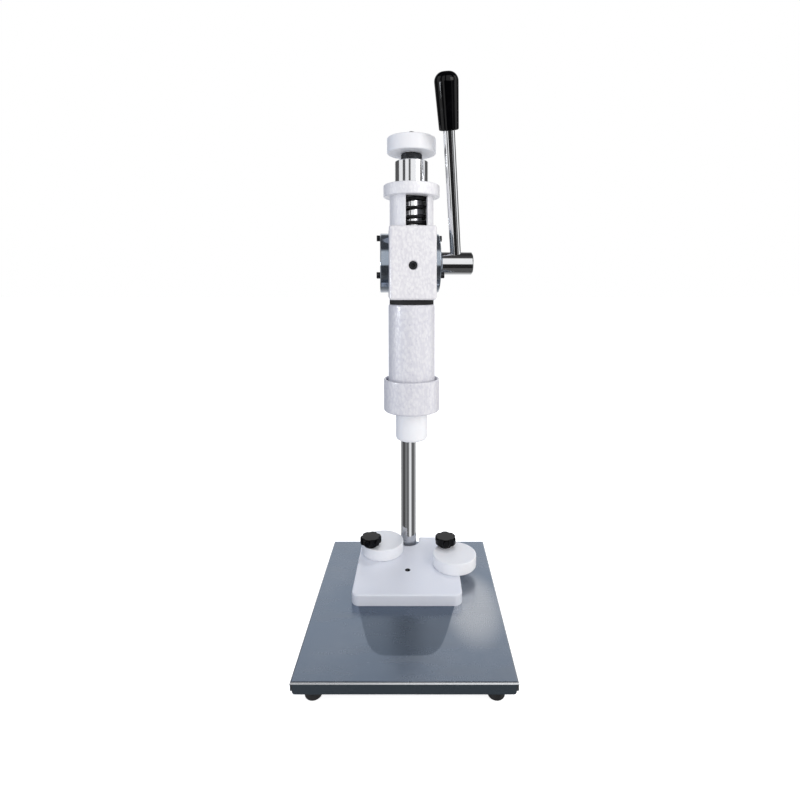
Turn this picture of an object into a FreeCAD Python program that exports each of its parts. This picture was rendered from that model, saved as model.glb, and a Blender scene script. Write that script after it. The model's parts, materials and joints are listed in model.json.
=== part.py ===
import FreeCAD, Part
import math
import os
import re

import Sketcher
from FreeCAD import Placement, Rotation, Vector

# Manual cap press for perfume bottles. Origin at the floor under the middle of the base,
# X to the right, Y to the back, Z up. The lever is up and the head is swung a little about the column.

# Driving sizes in millimetres and degrees. A formula below may use any of these names.
SIZES = {
    # base
    "base_width": 250,
    "base_depth": 300,
    "base_height": 13,
    "sheet_thickness": 1.5,
    "bend_radius": 2.5,
    "corner_gap": 3,
    "flange_round": 3,
    "slab_thickness": 9.5,
    "slab_gap": 0.5,
    "foot_height": 19,
    "foot_radius": 10,
    "foot_inset": 22,
    "foot_crown": 3,
    "foot_recess": 5,
    "foot_screw_radius": 2.1,
    "foot_screw_head_radius": 3.8,
    "foot_screw_head": 2.4,
    "foot_screw_grip": 6,
    # column
    "column_radius": 12.5,
    "column_back": 124,
    "column_top": 565,
    "column_seat": 4,
    "column_chamfer": 1.5,
    "column_bolt_radius": 5,
    "column_bolt_reach": 25,
    "column_bolt_head_radius": 8,
    "column_bolt_head": 6,
    "washer_radius": 12,
    "washer_thickness": 2,
    "hole_play": 0.3,
    # locating plate
    "plate_width": 150,
    "plate_depth": 155,
    "plate_thickness": 15,
    "plate_back": 57.3,
    "plate_corner": 11,
    "plate_edge": 2,
    "notch_radius": 17,
    "fixture_hole_radius": 4,
    "plate_screw_radius": 2.5,
    "plate_screw_grip": 10,
    "plate_screw_inset": 22,
    "plate_screw_head_radius": 4.4,
    "plate_screw_head": 4.5,
    # stop discs, their studs and star knobs
    "pivot_side": 57,
    "pivot_back": 75.4,
    "stud_radius": 4,
    "stud_grip": 12,
    "disc_radius": 32,
    "disc_thickness": 17,
    "disc_offset": 24,
    "disc_edge": 1.5,
    "left_disc_turn": 44,
    "right_disc_turn": -59,
    "star_radius": 16,
    "star_height": 11,
    "star_edge": 2.5,
    "star_lobes": 6,
    "star_notch_radius": 5.5,
    "star_notch_reach": 18,
    "star_boss_radius": 9,
    "star_boss": 4,
    "insert_radius": 6.5,
    "insert_length": 12,
    # height collar
    "collar_radius": 25,
    "collar_height": 20,
    "collar_edge": 1,
    "collar_screw_radius": 3,
    "collar_socket": 3,
    # press block
    "head_yaw": 4,
    "ram_reach": 85,
    "block_bottom": 442,
    "block_height": 101,
    "block_width": 65,
    "block_front": 37,
    "block_back": 66,
    "block_corner": 5,
    "block_edge": 3,
    "boss_radius": 24,
    "boss_height": 84,
    "lug_width": 41,
    "lug_back": 24,
    "clamp_slit": 3,
    "clamp_screw_radius": 3,
    "clamp_screw_back": 18.4,
    "clamp_screw_low": 17,
    "clamp_screw_spacing": 50,
    "clamp_screw_head_radius": 5,
    "clamp_screw_head": 6,
    "running_gap": 0.05,
    # ram, rack and guide bushes
    "ram_radius": 15,
    "bush_wall": 3,
    "lower_bush_length": 30,
    "upper_bush_length": 20,
    "rack_line": 8,
    "rack_addendum": 1.6,
    "rack_dedendum": 2.4,
    "rack_gaps": 9,
    "rack_gaps_below": 1.5,
    "rack_flat_margin": 17,
    "ram_travel": 28.8,
    "ram_spigot_radius": 12,
    "ram_spigot_length": 40,
    "ram_top_radius": 10,
    "ram_top_length": 20,
    "gib_rise": 47,
    "gib_flat": 14,
    "gib_radius": 6,
    "gib_length": 6,
    "gib_recess_radius": 7,
    "gib_recess": 3,
    "gib_socket": 6,
    # pinion shaft and its bearings
    "shaft_rise": 52,
    "gear_module": 2,
    "pinion_teeth": 15,
    "pressure_angle": 20,
    "tooth_play": 0.12,
    "pinion_root_depth": 2.5,
    "pinion_width": 30,
    "shaft_radius": 10,
    "shoulder_radius": 12,
    "side_gap": 0.3,
    "cross_bore_radius": 19,
    "bearing_wall": 3,
    "blind_bush_length": 14,
    "flange_radius": 43,
    "flange_edge": 1.5,
    "left_flange_thickness": 12,
    "right_flange_thickness": 8,
    "spigot_length": 8,
    "flange_screws": 3,
    "flange_screw_circle": 36,
    "flange_screw_radius": 2.5,
    "flange_screw_grip": 12,
    "flange_screw_head_radius": 4.3,
    "flange_screw_head": 5,
    # lever
    "thrust_washer_radius": 15,
    "thrust_washer_thickness": 3,
    "hub_radius": 17,
    "hub_length": 46.5,
    "hub_chamfer": 1.5,
    "hub_bore_depth": 36,
    "hub_screw_place": 9,
    "hub_screw_radius": 3,
    "hub_socket": 3,
    "lever_lean": 20,
    "lever_cant": 6,
    "rod_radius": 8,
    "rod_start": 11.2,
    "rod_in_grip": 50,
    "grip_start": 186.5,
    "grip_length": 72,
    "grip_small_radius": 13.3,
    "grip_big_radius": 15.9,
    "grip_edge": 2,
    "grip_crown": 13,
    # spring tube, guide collar and return spring
    "tube_radius": 31,
    "tube_wall": 5,
    "tube_height": 42,
    "window_width": 31,
    "window_turn": 12,
    "guide_collar_radius": 39.75,
    "guide_collar_height": 17,
    "guide_collar_edge": 2,
    "tie_screws": 3,
    "tie_screw_radius": 2,
    "tie_screw_grip": 10,
    "tie_screw_head_radius": 3.5,
    "tie_screw_head": 4,
    "spring_space": 52,
    "spring_wire_radius": 2.5,
    "spring_radius": 20,
    "spring_turns": 3.5,
    "spring_points": 8,
    "spring_end_gap": 0.1,
    # top guide and stop knob
    "guide_radius": 23.5,
    "guide_length": 40,
    "guide_chamfer": 1,
    "guide_web": 2,
    "depth_screw_radius": 7,
    "depth_screw_reach": 17,
    "depth_screw_tip_radius": 3,
    "lock_ring_radius": 15,
    "lock_ring_height": 11,
    "lock_ring_edge": 1.5,
    "stop_knob_radius": 34.5,
    "stop_knob_height": 21.5,
    "stop_knob_edge": 2,
    "stop_knob_seat": 12,
    "cap_nut_radius": 5,
    "cap_nut_height": 10,
    "cap_nut_crown": 3,
    "cap_nut_thread": 6,
    # buffer ring, barrel, press ring and press head
    "buffer_radius": 31.5,
    "buffer_bore": 16,
    "buffer_height": 7,
    "barrel_radius": 33.2,
    "barrel_length": 114,
    "barrel_edge": 2.5,
    "press_ring_radius": 40,
    "press_ring_floor": 38,
    "press_ring_rim": 8,
    "press_ring_recess_radius": 36.5,
    "press_ring_edge": 1.7,
    "press_ring_lower_edge": 3,
    "press_head_radius": 22.75,
    "press_head_length": 48,
    "press_head_seat": 6,
    "press_head_edge": 5,
    "press_stud_radius": 6,
    "press_stud_grip": 25,
}

# Heights above the floor and other places worked out from the driving sizes.
base_top = "(foot_height + base_height)"
slab_top = f"({base_top} - sheet_thickness)"
slab_bottom = f"({slab_top} - slab_thickness)"
column_foot = f"({slab_top} - column_seat)"
plate_top = f"({base_top} + plate_thickness)"
disc_top = f"({plate_top} + disc_thickness)"
block_top = "(block_bottom + block_height)"
shaft_height = "(block_bottom + shaft_rise)"
gib_height = "(block_bottom + gib_rise)"
shaft_back = "(rack_line + gear_module * pinion_teeth / 2)"
bush_radius = "(ram_radius + bush_wall)"
collar_bottom = f"({block_top} + tube_height)"
collar_top = f"({collar_bottom} + guide_collar_height)"
guide_bottom = f"({block_top} + spring_space)"
guide_top = f"({guide_bottom} + guide_length)"
knob_bottom = f"({guide_top} + lock_ring_height)"
knob_top = f"({knob_bottom} + stop_knob_height)"
barrel_top = "(block_bottom - buffer_height)"
barrel_bottom = f"({barrel_top} - barrel_length)"
ring_bottom = f"({barrel_bottom} - press_ring_floor)"
press_face = f"({ring_bottom} + press_head_seat - press_head_length)"
bearing_radius = "(shaft_radius + bearing_wall)"
spigot_end = "(block_width / 2 - spigot_length)"
hub_start = "(block_width / 2 + right_flange_thickness + side_gap + thrust_washer_thickness)"
hub_middle = f"({hub_start} + hub_length / 2)"
tooth_pitch = "(pi * gear_module)"
tie_circle = "(tube_radius - tube_wall / 2)"

doc = FreeCAD.newDocument("CapPress")
sheet = doc.addObject("Spreadsheet::Sheet", "Sizes")
for row, (alias, amount) in enumerate(SIZES.items(), start=1):
    sheet.set(f"A{row}", alias)
    sheet.set(f"B{row}", str(amount))
    sheet.setAlias(f"B{row}", alias)
doc.recompute()

pieces = []
SIZE_NAME = re.compile(r"\b(" + "|".join(SIZES) + r")\b")


def formula(text):
    """The text as an expression, with each size name pointing at its cell of the sheet."""
    return SIZE_NAME.sub(r"Sizes.\1", str(text))


def value(text):
    """The number that a formula gives now."""
    return float(sheet.evalExpression(formula(text)))


def at(x=0, y=0, z=0, axis="0; 0; 1", turn=0):
    """A placement formula: moved to x, y, z and turned about the axis."""
    return f"placement(vector({x}; {y}; {z}); rotation(vector({axis}); {turn}))"


# The head's own frame stands on the ram's axis, turned with the head about the column.
HEAD = at(y="column_back", turn="head_yaw") + " * " + at(y="-ram_reach")
# The lever's frame has X along the pinion shaft and Z up the lever.
LEVER = HEAD + " * " + at(y=shaft_back, z=shaft_height, axis="1; 0; 0", turn="lever_lean")
SIDEWAYS = "0; 1; 0"


def place(piece, *frames):
    """Put a piece where the frames, from the outermost in, take it."""
    piece.setExpression("Placement", formula(" * ".join(frames)))


# Drawing and cutting

def new_body(label):
    piece = doc.addObject("PartDesign::Body", label)
    piece.Label = label
    pieces.append(piece)
    return piece


def new_solid(label, shape, *frames):
    """A piece whose shape is made directly, for forms that a body can't hold."""
    piece = doc.addObject("Part::Feature", label)
    piece.Label = label
    piece.Shape = shape
    place(piece, *frames)
    pieces.append(piece)
    return piece


def new_sketch(piece, role, rise="0"):
    """A sketch on one of the piece's own origin planes, lifted along the plane's normal."""
    drawing = piece.newObject("Sketcher::SketchObject", f"{piece.Name}_sketch")
    plane = next(item for item in piece.Origin.OriginFeatures if item.Role == role)
    drawing.AttachmentSupport = [(plane, "")]
    drawing.MapMode = "FlatFace"
    drawing.setExpression("AttachmentOffset.Base.z", formula(rise))
    return drawing


def pin(drawing, geometry, point, across, up):
    """Hold a point of the drawing at two formulas from the sketch's origin."""
    for kind, axis, text in (("DistanceX", -2, across), ("DistanceY", -1, up)):
        amount = value(text)
        if abs(amount) < 1e-9:
            drawing.addConstraint(Sketcher.Constraint("PointOnObject", geometry, point, axis))
            continue
        index = drawing.addConstraint(Sketcher.Constraint(kind, -1, 1, geometry, point, amount))
        drawing.setExpression(f"Constraints[{index}]", formula(text))


def draw_polygon(drawing, corners):
    spots = [Vector(value(across), value(up), 0) for across, up in corners]
    first = drawing.GeometryCount
    count = len(spots)
    for k in range(count):
        drawing.addGeometry(Part.LineSegment(spots[k], spots[(k + 1) % count]), False)
    for k in range(count):
        drawing.addConstraint(Sketcher.Constraint("Coincident", first + k, 2, first + (k + 1) % count, 1))
    for k, (across, up) in enumerate(corners):
        pin(drawing, first + k, 1, across, up)


def draw_rectangle(drawing, left, low, right, high):
    draw_polygon(drawing, [(left, low), (right, low), (right, high), (left, high)])


def draw_circle(drawing, across, up, radius):
    spot = Vector(value(across), value(up), 0)
    index = drawing.addGeometry(Part.Circle(spot, Vector(0, 0, 1), value(radius)), False)
    pin(drawing, index, 3, across, up)
    size = drawing.addConstraint(Sketcher.Constraint("Radius", index, value(radius)))
    drawing.setExpression(f"Constraints[{size}]", formula(radius))


def grow(piece, drawing, length):
    pad = piece.newObject("PartDesign::Pad", f"{piece.Name}_pad")
    pad.Profile = drawing
    pad.setExpression("Length", formula(length))
    return pad


def sink(piece, drawing, depth=None, both=False, back=False):
    """Cut the drawing against its normal, or along it with back; no depth cuts right through."""
    pocket = piece.newObject("PartDesign::Pocket", f"{piece.Name}_pocket")
    pocket.Profile = drawing
    pocket.SideType = "Symmetric" if both else "One side"
    pocket.Reversed = back
    if depth is None:
        pocket.Type = "ThroughAll"
    else:
        pocket.setExpression("Length", formula(depth))
    return pocket


def soften(piece, kind, size, wanted):
    """Fillet or chamfer the edges of the piece that the test picks."""
    doc.recompute()
    before = piece.Tip
    names = [f"Edge{k}" for k, edge in enumerate(before.Shape.Edges, start=1) if wanted(edge)]
    feature = piece.newObject(f"PartDesign::{kind}", f"{piece.Name}_{kind.lower()}")
    feature.Base = (before, names)
    feature.setExpression("Radius" if kind == "Fillet" else "Size", formula(size))
    return feature


def rim(radius, height):
    """Picks the round edges of this radius at this height."""
    size, level = value(radius), value(height)

    def wanted(edge):
        curve = edge.Curve
        if not isinstance(curve, Part.Circle):
            return False
        return abs(curve.Radius - size) < 1e-3 and abs(curve.Center.z - level) < 1e-3
    return wanted


def rims(*pairs):
    tests = [rim(radius, height) for radius, height in pairs]
    return lambda edge: any(test(edge) for test in tests)


def flat_at(height):
    """Picks every edge that lies at this height."""
    level = value(height)
    return lambda edge: max(abs(spot.Point.z - level) for spot in edge.Vertexes) < 1e-3 and \
        abs(edge.CenterOfMass.z - level) < 1e-3


def upright(edge):
    box = edge.BoundBox
    return box.XLength < 1e-3 and box.YLength < 1e-3


def turned(label, corners, *frames):
    """A body turned about its own Z axis; corners are radius and height."""
    piece = new_body(label)
    drawing = new_sketch(piece, "XZ_Plane")
    draw_polygon(drawing, corners)
    turn = piece.newObject("PartDesign::Revolution", f"{label}_turn")
    turn.Profile = drawing
    turn.ReferenceAxis = (drawing, ["V_Axis"])
    turn.Angle = 360
    place(piece, *frames)
    return piece


def ring(label, bore, radius, length, *frames):
    """A plain turned ring that stands on its own origin."""
    return turned(label, [(bore, "0"), (radius, "0"), (radius, length), (bore, length)], *frames)


def around(radius, count, start="0"):
    """Formulas for the points of a bolt circle about the origin."""
    angles = [f"({start} + {k} * 360 / {count})" for k in range(round(value(count)))]
    return [(f"{radius} * cos({angle})", f"{radius} * sin({angle})") for angle in angles]


# Fasteners

def hexagon(across, depth):
    corner = across / math.sqrt(3)
    points = [Vector(corner * math.cos(k * math.pi / 3), corner * math.sin(k * math.pi / 3), 0) for k in range(7)]
    return Part.Face(Part.makePolygon(points)).extrude(Vector(0, 0, -depth))


def cap_screw(radius, length, head_radius, head):
    """A socket head screw that points down, with its head on the plane of its origin."""
    screw = Part.makeCylinder(head_radius, head).fuse(Part.makeCylinder(radius, length, Vector(0, 0, -length)))
    socket = hexagon(1.2 * radius * 1.4, 0.6 * head)
    socket.translate(Vector(0, 0, head))
    return screw.cut(socket).removeSplitter()


def set_screw(radius, length, across):
    """A headless screw whose socket end is at its origin and which points down."""
    screw = Part.makeCylinder(radius, length, Vector(0, 0, -length))
    return screw.cut(hexagon(across, 0.5 * length))


def repeat(shape, spots):
    """Separate copies of a shape, one at each placement."""
    return Part.makeCompound([shape.transformed(spot.toMatrix()) for spot in spots])


UPSIDE_DOWN = Rotation(Vector(1, 0, 0), 180)


# Base, feet and column

def foot_places():
    side = "(base_width / 2 - foot_inset)"
    front = "(base_depth / 2 - foot_inset)"
    return {
        "foot_front_left": (f"-{side}", f"-{front}"),
        "foot_front_right": (side, f"-{front}"),
        "foot_rear_left": (f"-{side}", front),
        "foot_rear_right": (side, front),
    }


def plate_screw_places():
    side = "(plate_width / 2 - plate_screw_inset)"
    reach = "(plate_depth / 2 - plate_screw_inset)"
    front = f"(plate_back - {reach})"
    rear = f"(plate_back + {reach})"
    return [(f"-{side}", front), (side, front), (f"-{side}", rear), (side, rear)]


def make_base_cover():
    """Sheet folded down on four sides, open at the corners."""
    piece = new_body("base_cover")
    outline = new_sketch(piece, "XY_Plane")
    draw_rectangle(outline, "-base_width / 2", "-base_depth / 2", "base_width / 2", "base_depth / 2")
    grow(piece, outline, "base_height")
    soften(piece, "Fillet", "bend_radius", flat_at("base_height"))
    side = "(base_width / 2 - sheet_thickness)"
    front = "(base_depth / 2 - sheet_thickness)"
    inside = new_sketch(piece, "XY_Plane")
    draw_rectangle(inside, f"-{side}", f"-{front}", side, front)
    sink(piece, inside, "base_height - sheet_thickness", back=True)
    corners = new_sketch(piece, "XY_Plane")
    for across, wide in (("-base_width / 2", "corner_gap"), ("base_width / 2", "-corner_gap")):
        for along, deep in (("-base_depth / 2", "corner_gap"), ("base_depth / 2", "-corner_gap")):
            draw_rectangle(corners, across, along, f"{across} + {wide}", f"{along} + {deep}")
    sink(piece, corners, "base_height - bend_radius", back=True)

    def flange_corner(edge):
        level = abs(edge.CenterOfMass.z) < 1e-3
        return level and abs(edge.Length - value("sheet_thickness")) < 1e-3
    soften(piece, "Fillet", "flange_round", flange_corner)
    holes = new_sketch(piece, "XY_Plane")
    draw_circle(holes, "0", "column_back", "column_radius + hole_play")
    for across, along in plate_screw_places():
        draw_circle(holes, across, along, "plate_screw_radius + hole_play")
    sink(piece, holes, both=True)
    place(piece, at(z="foot_height"))


def make_base_slab():
    """Steel slab under the cover that gives the press its weight and holds the column."""
    piece = new_body("base_slab")
    side = "(base_width / 2 - sheet_thickness - slab_gap)"
    front = "(base_depth / 2 - sheet_thickness - slab_gap)"
    outline = new_sketch(piece, "XY_Plane")
    draw_rectangle(outline, f"-{side}", f"-{front}", side, front)
    grow(piece, outline, "slab_thickness")
    seat = new_sketch(piece, "XY_Plane", "slab_thickness")
    draw_circle(seat, "0", "column_back", "column_radius")
    sink(piece, seat, "column_seat")
    through = new_sketch(piece, "XY_Plane")
    draw_circle(through, "0", "column_back", "column_bolt_radius + hole_play")
    for across, along in plate_screw_places():
        draw_circle(through, across, along, "plate_screw_radius + hole_play")
    sink(piece, through, both=True)
    recesses = new_sketch(piece, "XY_Plane")
    for across, along in plate_screw_places():
        draw_circle(recesses, across, along, "plate_screw_head_radius + hole_play")
    sink(piece, recesses, "plate_screw_head", back=True)
    threads = new_sketch(piece, "XY_Plane")
    for across, along in foot_places().values():
        draw_circle(threads, across, along, "foot_screw_radius")
    sink(piece, threads, "foot_screw_grip", back=True)
    place(piece, at(z=slab_bottom))


def make_feet():
    """Rubber feet with rounded bottoms, screwed to the slab from below."""
    corners = [
        ("foot_screw_head_radius + hole_play", "0"),
        ("foot_radius", "0"),
        ("foot_radius", slab_bottom),
        ("foot_screw_radius", slab_bottom),
        ("foot_screw_radius", "foot_recess"),
        ("foot_screw_head_radius + hole_play", "foot_recess"),
    ]
    for label, (across, along) in foot_places().items():
        foot = turned(label, corners, at(across, along))
        soften(foot, "Fillet", "foot_crown", rim("foot_radius", "0"))
    length = value(f"{slab_bottom} - foot_recess + foot_screw_grip")
    screw = cap_screw(value("foot_screw_radius"), length, value("foot_screw_head_radius"), value("foot_screw_head"))
    spots = [Placement(Vector(value(across), value(along), value("foot_recess")), UPSIDE_DOWN)
             for across, along in foot_places().values()]
    new_solid("foot_screws", repeat(screw, spots), at())


def make_column():
    length = f"(column_top - {column_foot})"
    column = turned("column", [
        ("column_bolt_radius", "0"),
        ("column_radius", "0"),
        ("column_radius", length),
        ("0", length),
        ("0", "column_bolt_reach + 1"),
        ("column_bolt_radius", "column_bolt_reach + 1"),
    ], at("0", "column_back", column_foot))
    soften(column, "Chamfer", "column_chamfer", rim("column_radius", length))
    ring("column_washer", "column_bolt_radius + hole_play", "washer_radius", "washer_thickness",
         at("0", "column_back", f"{slab_bottom} - washer_thickness"))
    length = value(f"washer_thickness + {column_foot} - {slab_bottom} + column_bolt_reach")
    bolt = cap_screw(value("column_bolt_radius"), length, value("column_bolt_head_radius"), value("column_bolt_head"))
    new_solid("column_bolt", bolt,
              at("0", "column_back", f"{slab_bottom} - washer_thickness", "1; 0; 0", 180))


# Locating plate, stop discs and star knobs

def make_locating_plate():
    piece = new_body("locating_plate")
    outline = new_sketch(piece, "XY_Plane")
    draw_rectangle(outline, "-plate_width / 2", "plate_back - plate_depth / 2",
                   "plate_width / 2", "plate_back + plate_depth / 2")
    grow(piece, outline, "plate_thickness")
    soften(piece, "Fillet", "plate_corner", upright)
    notch = new_sketch(piece, "XY_Plane")
    draw_circle(notch, "0", "column_back", "notch_radius")
    sink(piece, notch, both=True)
    mouth = new_sketch(piece, "XY_Plane")
    draw_rectangle(mouth, "-notch_radius", "column_back", "notch_radius", "plate_back + plate_depth / 2 + 1")
    sink(piece, mouth, both=True)
    soften(piece, "Fillet", "plate_edge", flat_at("plate_thickness"))
    holes = new_sketch(piece, "XY_Plane")
    draw_circle(holes, "0", "column_back - ram_reach", "fixture_hole_radius")
    for side in ("-pivot_side", "pivot_side"):
        draw_circle(holes, side, "pivot_back", "stud_radius")
    sink(piece, holes, both=True)
    threads = new_sketch(piece, "XY_Plane")
    for across, along in plate_screw_places():
        draw_circle(threads, across, along, "plate_screw_radius")
    sink(piece, threads, "plate_screw_grip", back=True)
    place(piece, at(z=base_top))
    head_place = f"({slab_bottom} + plate_screw_head)"
    length = value(f"{base_top} - {head_place} + plate_screw_grip")
    screw = cap_screw(value("plate_screw_radius"), length,
                      value("plate_screw_head_radius"), value("plate_screw_head"))
    spots = [Placement(Vector(value(across), value(along), value(head_place)), UPSIDE_DOWN)
             for across, along in plate_screw_places()]
    new_solid("plate_screws", repeat(screw, spots), at())


def make_stop(name, side, turn):
    """A disc that turns off centre about a stud, and the star knob that locks it."""
    stud_length = f"(stud_grip + disc_thickness + insert_length - 1)"
    stud = turned(f"{name}_pivot_stud",
                  [("0", "0"), ("stud_radius", "0"), ("stud_radius", stud_length), ("0", stud_length)],
                  at(side, "pivot_back", f"{plate_top} - stud_grip"))
    soften(stud, "Chamfer", "stud_radius / 5", rim("stud_radius", stud_length))

    disc = new_body(f"{name}_stop_disc")
    outline = new_sketch(disc, "XY_Plane")
    draw_circle(outline, "disc_offset", "0", "disc_radius")
    grow(disc, outline, "disc_thickness")
    soften(disc, "Fillet", "disc_edge", rims(("disc_radius", "0"), ("disc_radius", "disc_thickness")))
    hole = new_sketch(disc, "XY_Plane")
    draw_circle(hole, "0", "0", "stud_radius + running_gap")
    sink(disc, hole, both=True)
    place(disc, at(side, "pivot_back", plate_top, turn=turn))

    top = "(star_boss + star_height)"
    knob = turned(f"{name}_star_knob", [
        ("insert_radius", "0"),
        ("star_boss_radius", "0"),
        ("star_boss_radius", "star_boss"),
        ("star_radius", "star_boss"),
        ("star_radius", top),
        ("0", top),
        ("0", "insert_length"),
        ("insert_radius", "insert_length"),
    ], at(side, "pivot_back", disc_top, turn=turn))
    soften(knob, "Fillet", "star_edge", rims(("star_radius", "star_boss"), ("star_radius", top)))
    notch = new_sketch(knob, "XY_Plane")
    draw_circle(notch, "star_notch_reach", "0", "star_notch_radius")
    cut = sink(knob, notch, both=True)
    lobes = knob.newObject("PartDesign::PolarPattern", f"{knob.Name}_lobes")
    lobes.Originals = [cut]
    lobes.Axis = (notch, ["N_Axis"])
    lobes.Angle = 360
    lobes.setExpression("Occurrences", formula("star_lobes"))
    knob.Tip = lobes
    ring(f"{name}_knob_insert", "stud_radius + running_gap", "insert_radius", "insert_length",
         at(side, "pivot_back", disc_top))


# Height collar and press block

def make_height_collar():
    """Plain collar under the head, which carries the head's weight on the column."""
    bottom = "(block_bottom - collar_height)"
    bore = "(column_radius + running_gap)"
    piece = ring("height_collar", bore, "collar_radius", "collar_height", at("0", "column_back", bottom))
    soften(piece, "Chamfer", "collar_edge", rims(("collar_radius", "0"), ("collar_radius", "collar_height")))
    hole = new_sketch(piece, "XZ_Plane")
    draw_circle(hole, "0", "collar_height / 2", "collar_screw_radius")
    sink(piece, hole)
    screw = set_screw(value("collar_screw_radius"), value(f"collar_radius - {bore} - 1"), value("collar_socket"))
    new_solid("collar_set_screw", screw,
              at("0", "column_back + collar_radius - 1", f"{bottom} + collar_height / 2", "1; 0; 0", -90))


def block_screw_circles(drawing, radius):
    """Circles at the places of the flange screws on a side of the block."""
    for along, up in around("flange_screw_circle", "flange_screws", "90"):
        draw_circle(drawing, f"{shaft_back} + {along}", f"shaft_rise + {up}", radius)


def tie_screw_places(start):
    return around(tie_circle, "tie_screws", start)


def make_press_block():
    """Casting with the ram's bore, the pinion's cross bore and a split boss for the column."""
    piece = new_body("press_block")
    outline = new_sketch(piece, "XY_Plane")
    draw_rectangle(outline, "-block_width / 2", "-block_front", "block_width / 2", "block_back")
    grow(piece, outline, "block_height")
    soften(piece, "Fillet", "block_corner", upright)
    both_ends = lambda edge: flat_at("0")(edge) or flat_at("block_height")(edge)
    soften(piece, "Fillet", "block_edge", both_ends)
    web = new_sketch(piece, "XY_Plane")
    draw_rectangle(web, "-boss_radius", "block_back - block_corner", "boss_radius", "ram_reach")
    grow(piece, web, "boss_height")
    boss = new_sketch(piece, "XY_Plane")
    draw_circle(boss, "0", "ram_reach", "boss_radius")
    grow(piece, boss, "boss_height")
    lug = new_sketch(piece, "XY_Plane")
    draw_rectangle(lug, "-lug_width / 2", "ram_reach", "lug_width / 2", "ram_reach + lug_back")
    grow(piece, lug, "boss_height")

    bores = new_sketch(piece, "XY_Plane")
    draw_circle(bores, "0", "0", bush_radius)
    draw_circle(bores, "0", "ram_reach", "column_radius + running_gap")
    sink(piece, bores, both=True)
    slit = new_sketch(piece, "XY_Plane")
    draw_rectangle(slit, "-clamp_slit / 2", "ram_reach", "clamp_slit / 2", "ram_reach + lug_back + 1")
    sink(piece, slit, both=True)
    cross = new_sketch(piece, "YZ_Plane")
    draw_circle(cross, shaft_back, "shaft_rise", "cross_bore_radius")
    for up in ("clamp_screw_low", "clamp_screw_low + clamp_screw_spacing"):
        draw_circle(cross, "ram_reach + clamp_screw_back", up, "clamp_screw_radius")
    sink(piece, cross, both=True)
    gib = new_sketch(piece, "XZ_Plane")
    draw_circle(gib, "0", "gib_rise", "gib_radius")
    sink(piece, gib, back=True)
    recess = new_sketch(piece, "XZ_Plane", "block_front - gib_recess")
    draw_circle(recess, "0", "gib_rise", "gib_recess_radius")
    sink(piece, recess, back=True)
    for side, back in (("block_width / 2", False), ("-block_width / 2", True)):
        threads = new_sketch(piece, "YZ_Plane", side)
        block_screw_circles(threads, "flange_screw_radius")
        sink(piece, threads, "flange_screw_grip", back=back)
    ties = new_sketch(piece, "XY_Plane", "block_height")
    for across, along in tie_screw_places("90 + window_turn"):
        draw_circle(ties, across, along, "tie_screw_radius")
    sink(piece, ties, "tie_screw_grip")
    place(piece, HEAD, at(z="block_bottom"))

    screw = cap_screw(value("clamp_screw_radius"), value("lug_width"),
                      value("clamp_screw_head_radius"), value("clamp_screw_head"))
    spots = [Placement(Vector(value("lug_width / 2"), value("ram_reach + clamp_screw_back"), value(up)),
                       Rotation(Vector(0, 1, 0), 90))
             for up in ("clamp_screw_low", "clamp_screw_low + clamp_screw_spacing")]
    new_solid("clamp_screws", repeat(screw, spots), HEAD, at(z="block_bottom"))


def make_head_linings():
    """Guide bushes for the ram, the gib that keeps it from turning, and the rubber buffer."""
    bore = "(ram_radius + running_gap)"
    ring("lower_guide_bush", bore, bush_radius, "lower_bush_length", HEAD, at(z="block_bottom"))
    ring("upper_guide_bush", bore, bush_radius, "upper_bush_length",
         HEAD, at(z=f"{block_top} - upper_bush_length"))
    ring("buffer_ring", "buffer_bore", "buffer_radius", "buffer_height", HEAD, at(z=barrel_top))
    nose = "(gib_flat + running_gap)"
    turned("gib_pad", [("0", "0"), ("gib_radius", "0"), ("gib_radius", "gib_length"), ("0", "gib_length")],
           HEAD, at("0", f"-{nose}", gib_height, "1; 0; 0", 90))
    length = value(f"block_front - gib_recess - {nose} - gib_length")
    screw = set_screw(value("gib_radius"), length, value("gib_socket"))
    new_solid("gib_screw", screw, HEAD,
              at("0", "-block_front + gib_recess", gib_height, "1; 0; 0", 90))


def make_spring_tube():
    """Tube with a front window, tied between block and collar by long screws."""
    tube = ring("spring_tube", "tube_radius - tube_wall", "tube_radius", "tube_height",
                HEAD, at(z=block_top, turn="window_turn"))
    window = new_sketch(tube, "XY_Plane")
    draw_rectangle(window, "-window_width / 2", "-tube_radius - 1", "window_width / 2", "0")
    sink(tube, window, both=True)
    holes = new_sketch(tube, "XY_Plane")
    for across, along in tie_screw_places("90"):
        draw_circle(holes, across, along, "tie_screw_radius")
    sink(tube, holes, both=True)

    collar = ring("guide_collar", "guide_radius + running_gap", "guide_collar_radius", "guide_collar_height",
                  HEAD, at(z=collar_bottom, turn="window_turn"))
    soften(collar, "Fillet", "guide_collar_edge",
           rims(("guide_collar_radius", "0"), ("guide_collar_radius", "guide_collar_height")))
    holes = new_sketch(collar, "XY_Plane")
    for across, along in tie_screw_places("90"):
        draw_circle(holes, across, along, "tie_screw_radius")
    sink(collar, holes, both=True)
    recesses = new_sketch(collar, "XY_Plane", "guide_collar_height")
    for across, along in tie_screw_places("90"):
        draw_circle(recesses, across, along, "tie_screw_head_radius + hole_play")
    sink(collar, recesses, "tie_screw_head")

    length = value("guide_collar_height - tie_screw_head + tube_height + tie_screw_grip")
    screw = cap_screw(value("tie_screw_radius"), length, value("tie_screw_head_radius"), value("tie_screw_head"))
    spots = [Placement(Vector(value(across), value(along), 0), Rotation())
             for across, along in tie_screw_places("90")]
    new_solid("tie_screws", repeat(screw, spots),
              HEAD, at(z=f"{collar_top} - tie_screw_head", turn="window_turn"))


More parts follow.
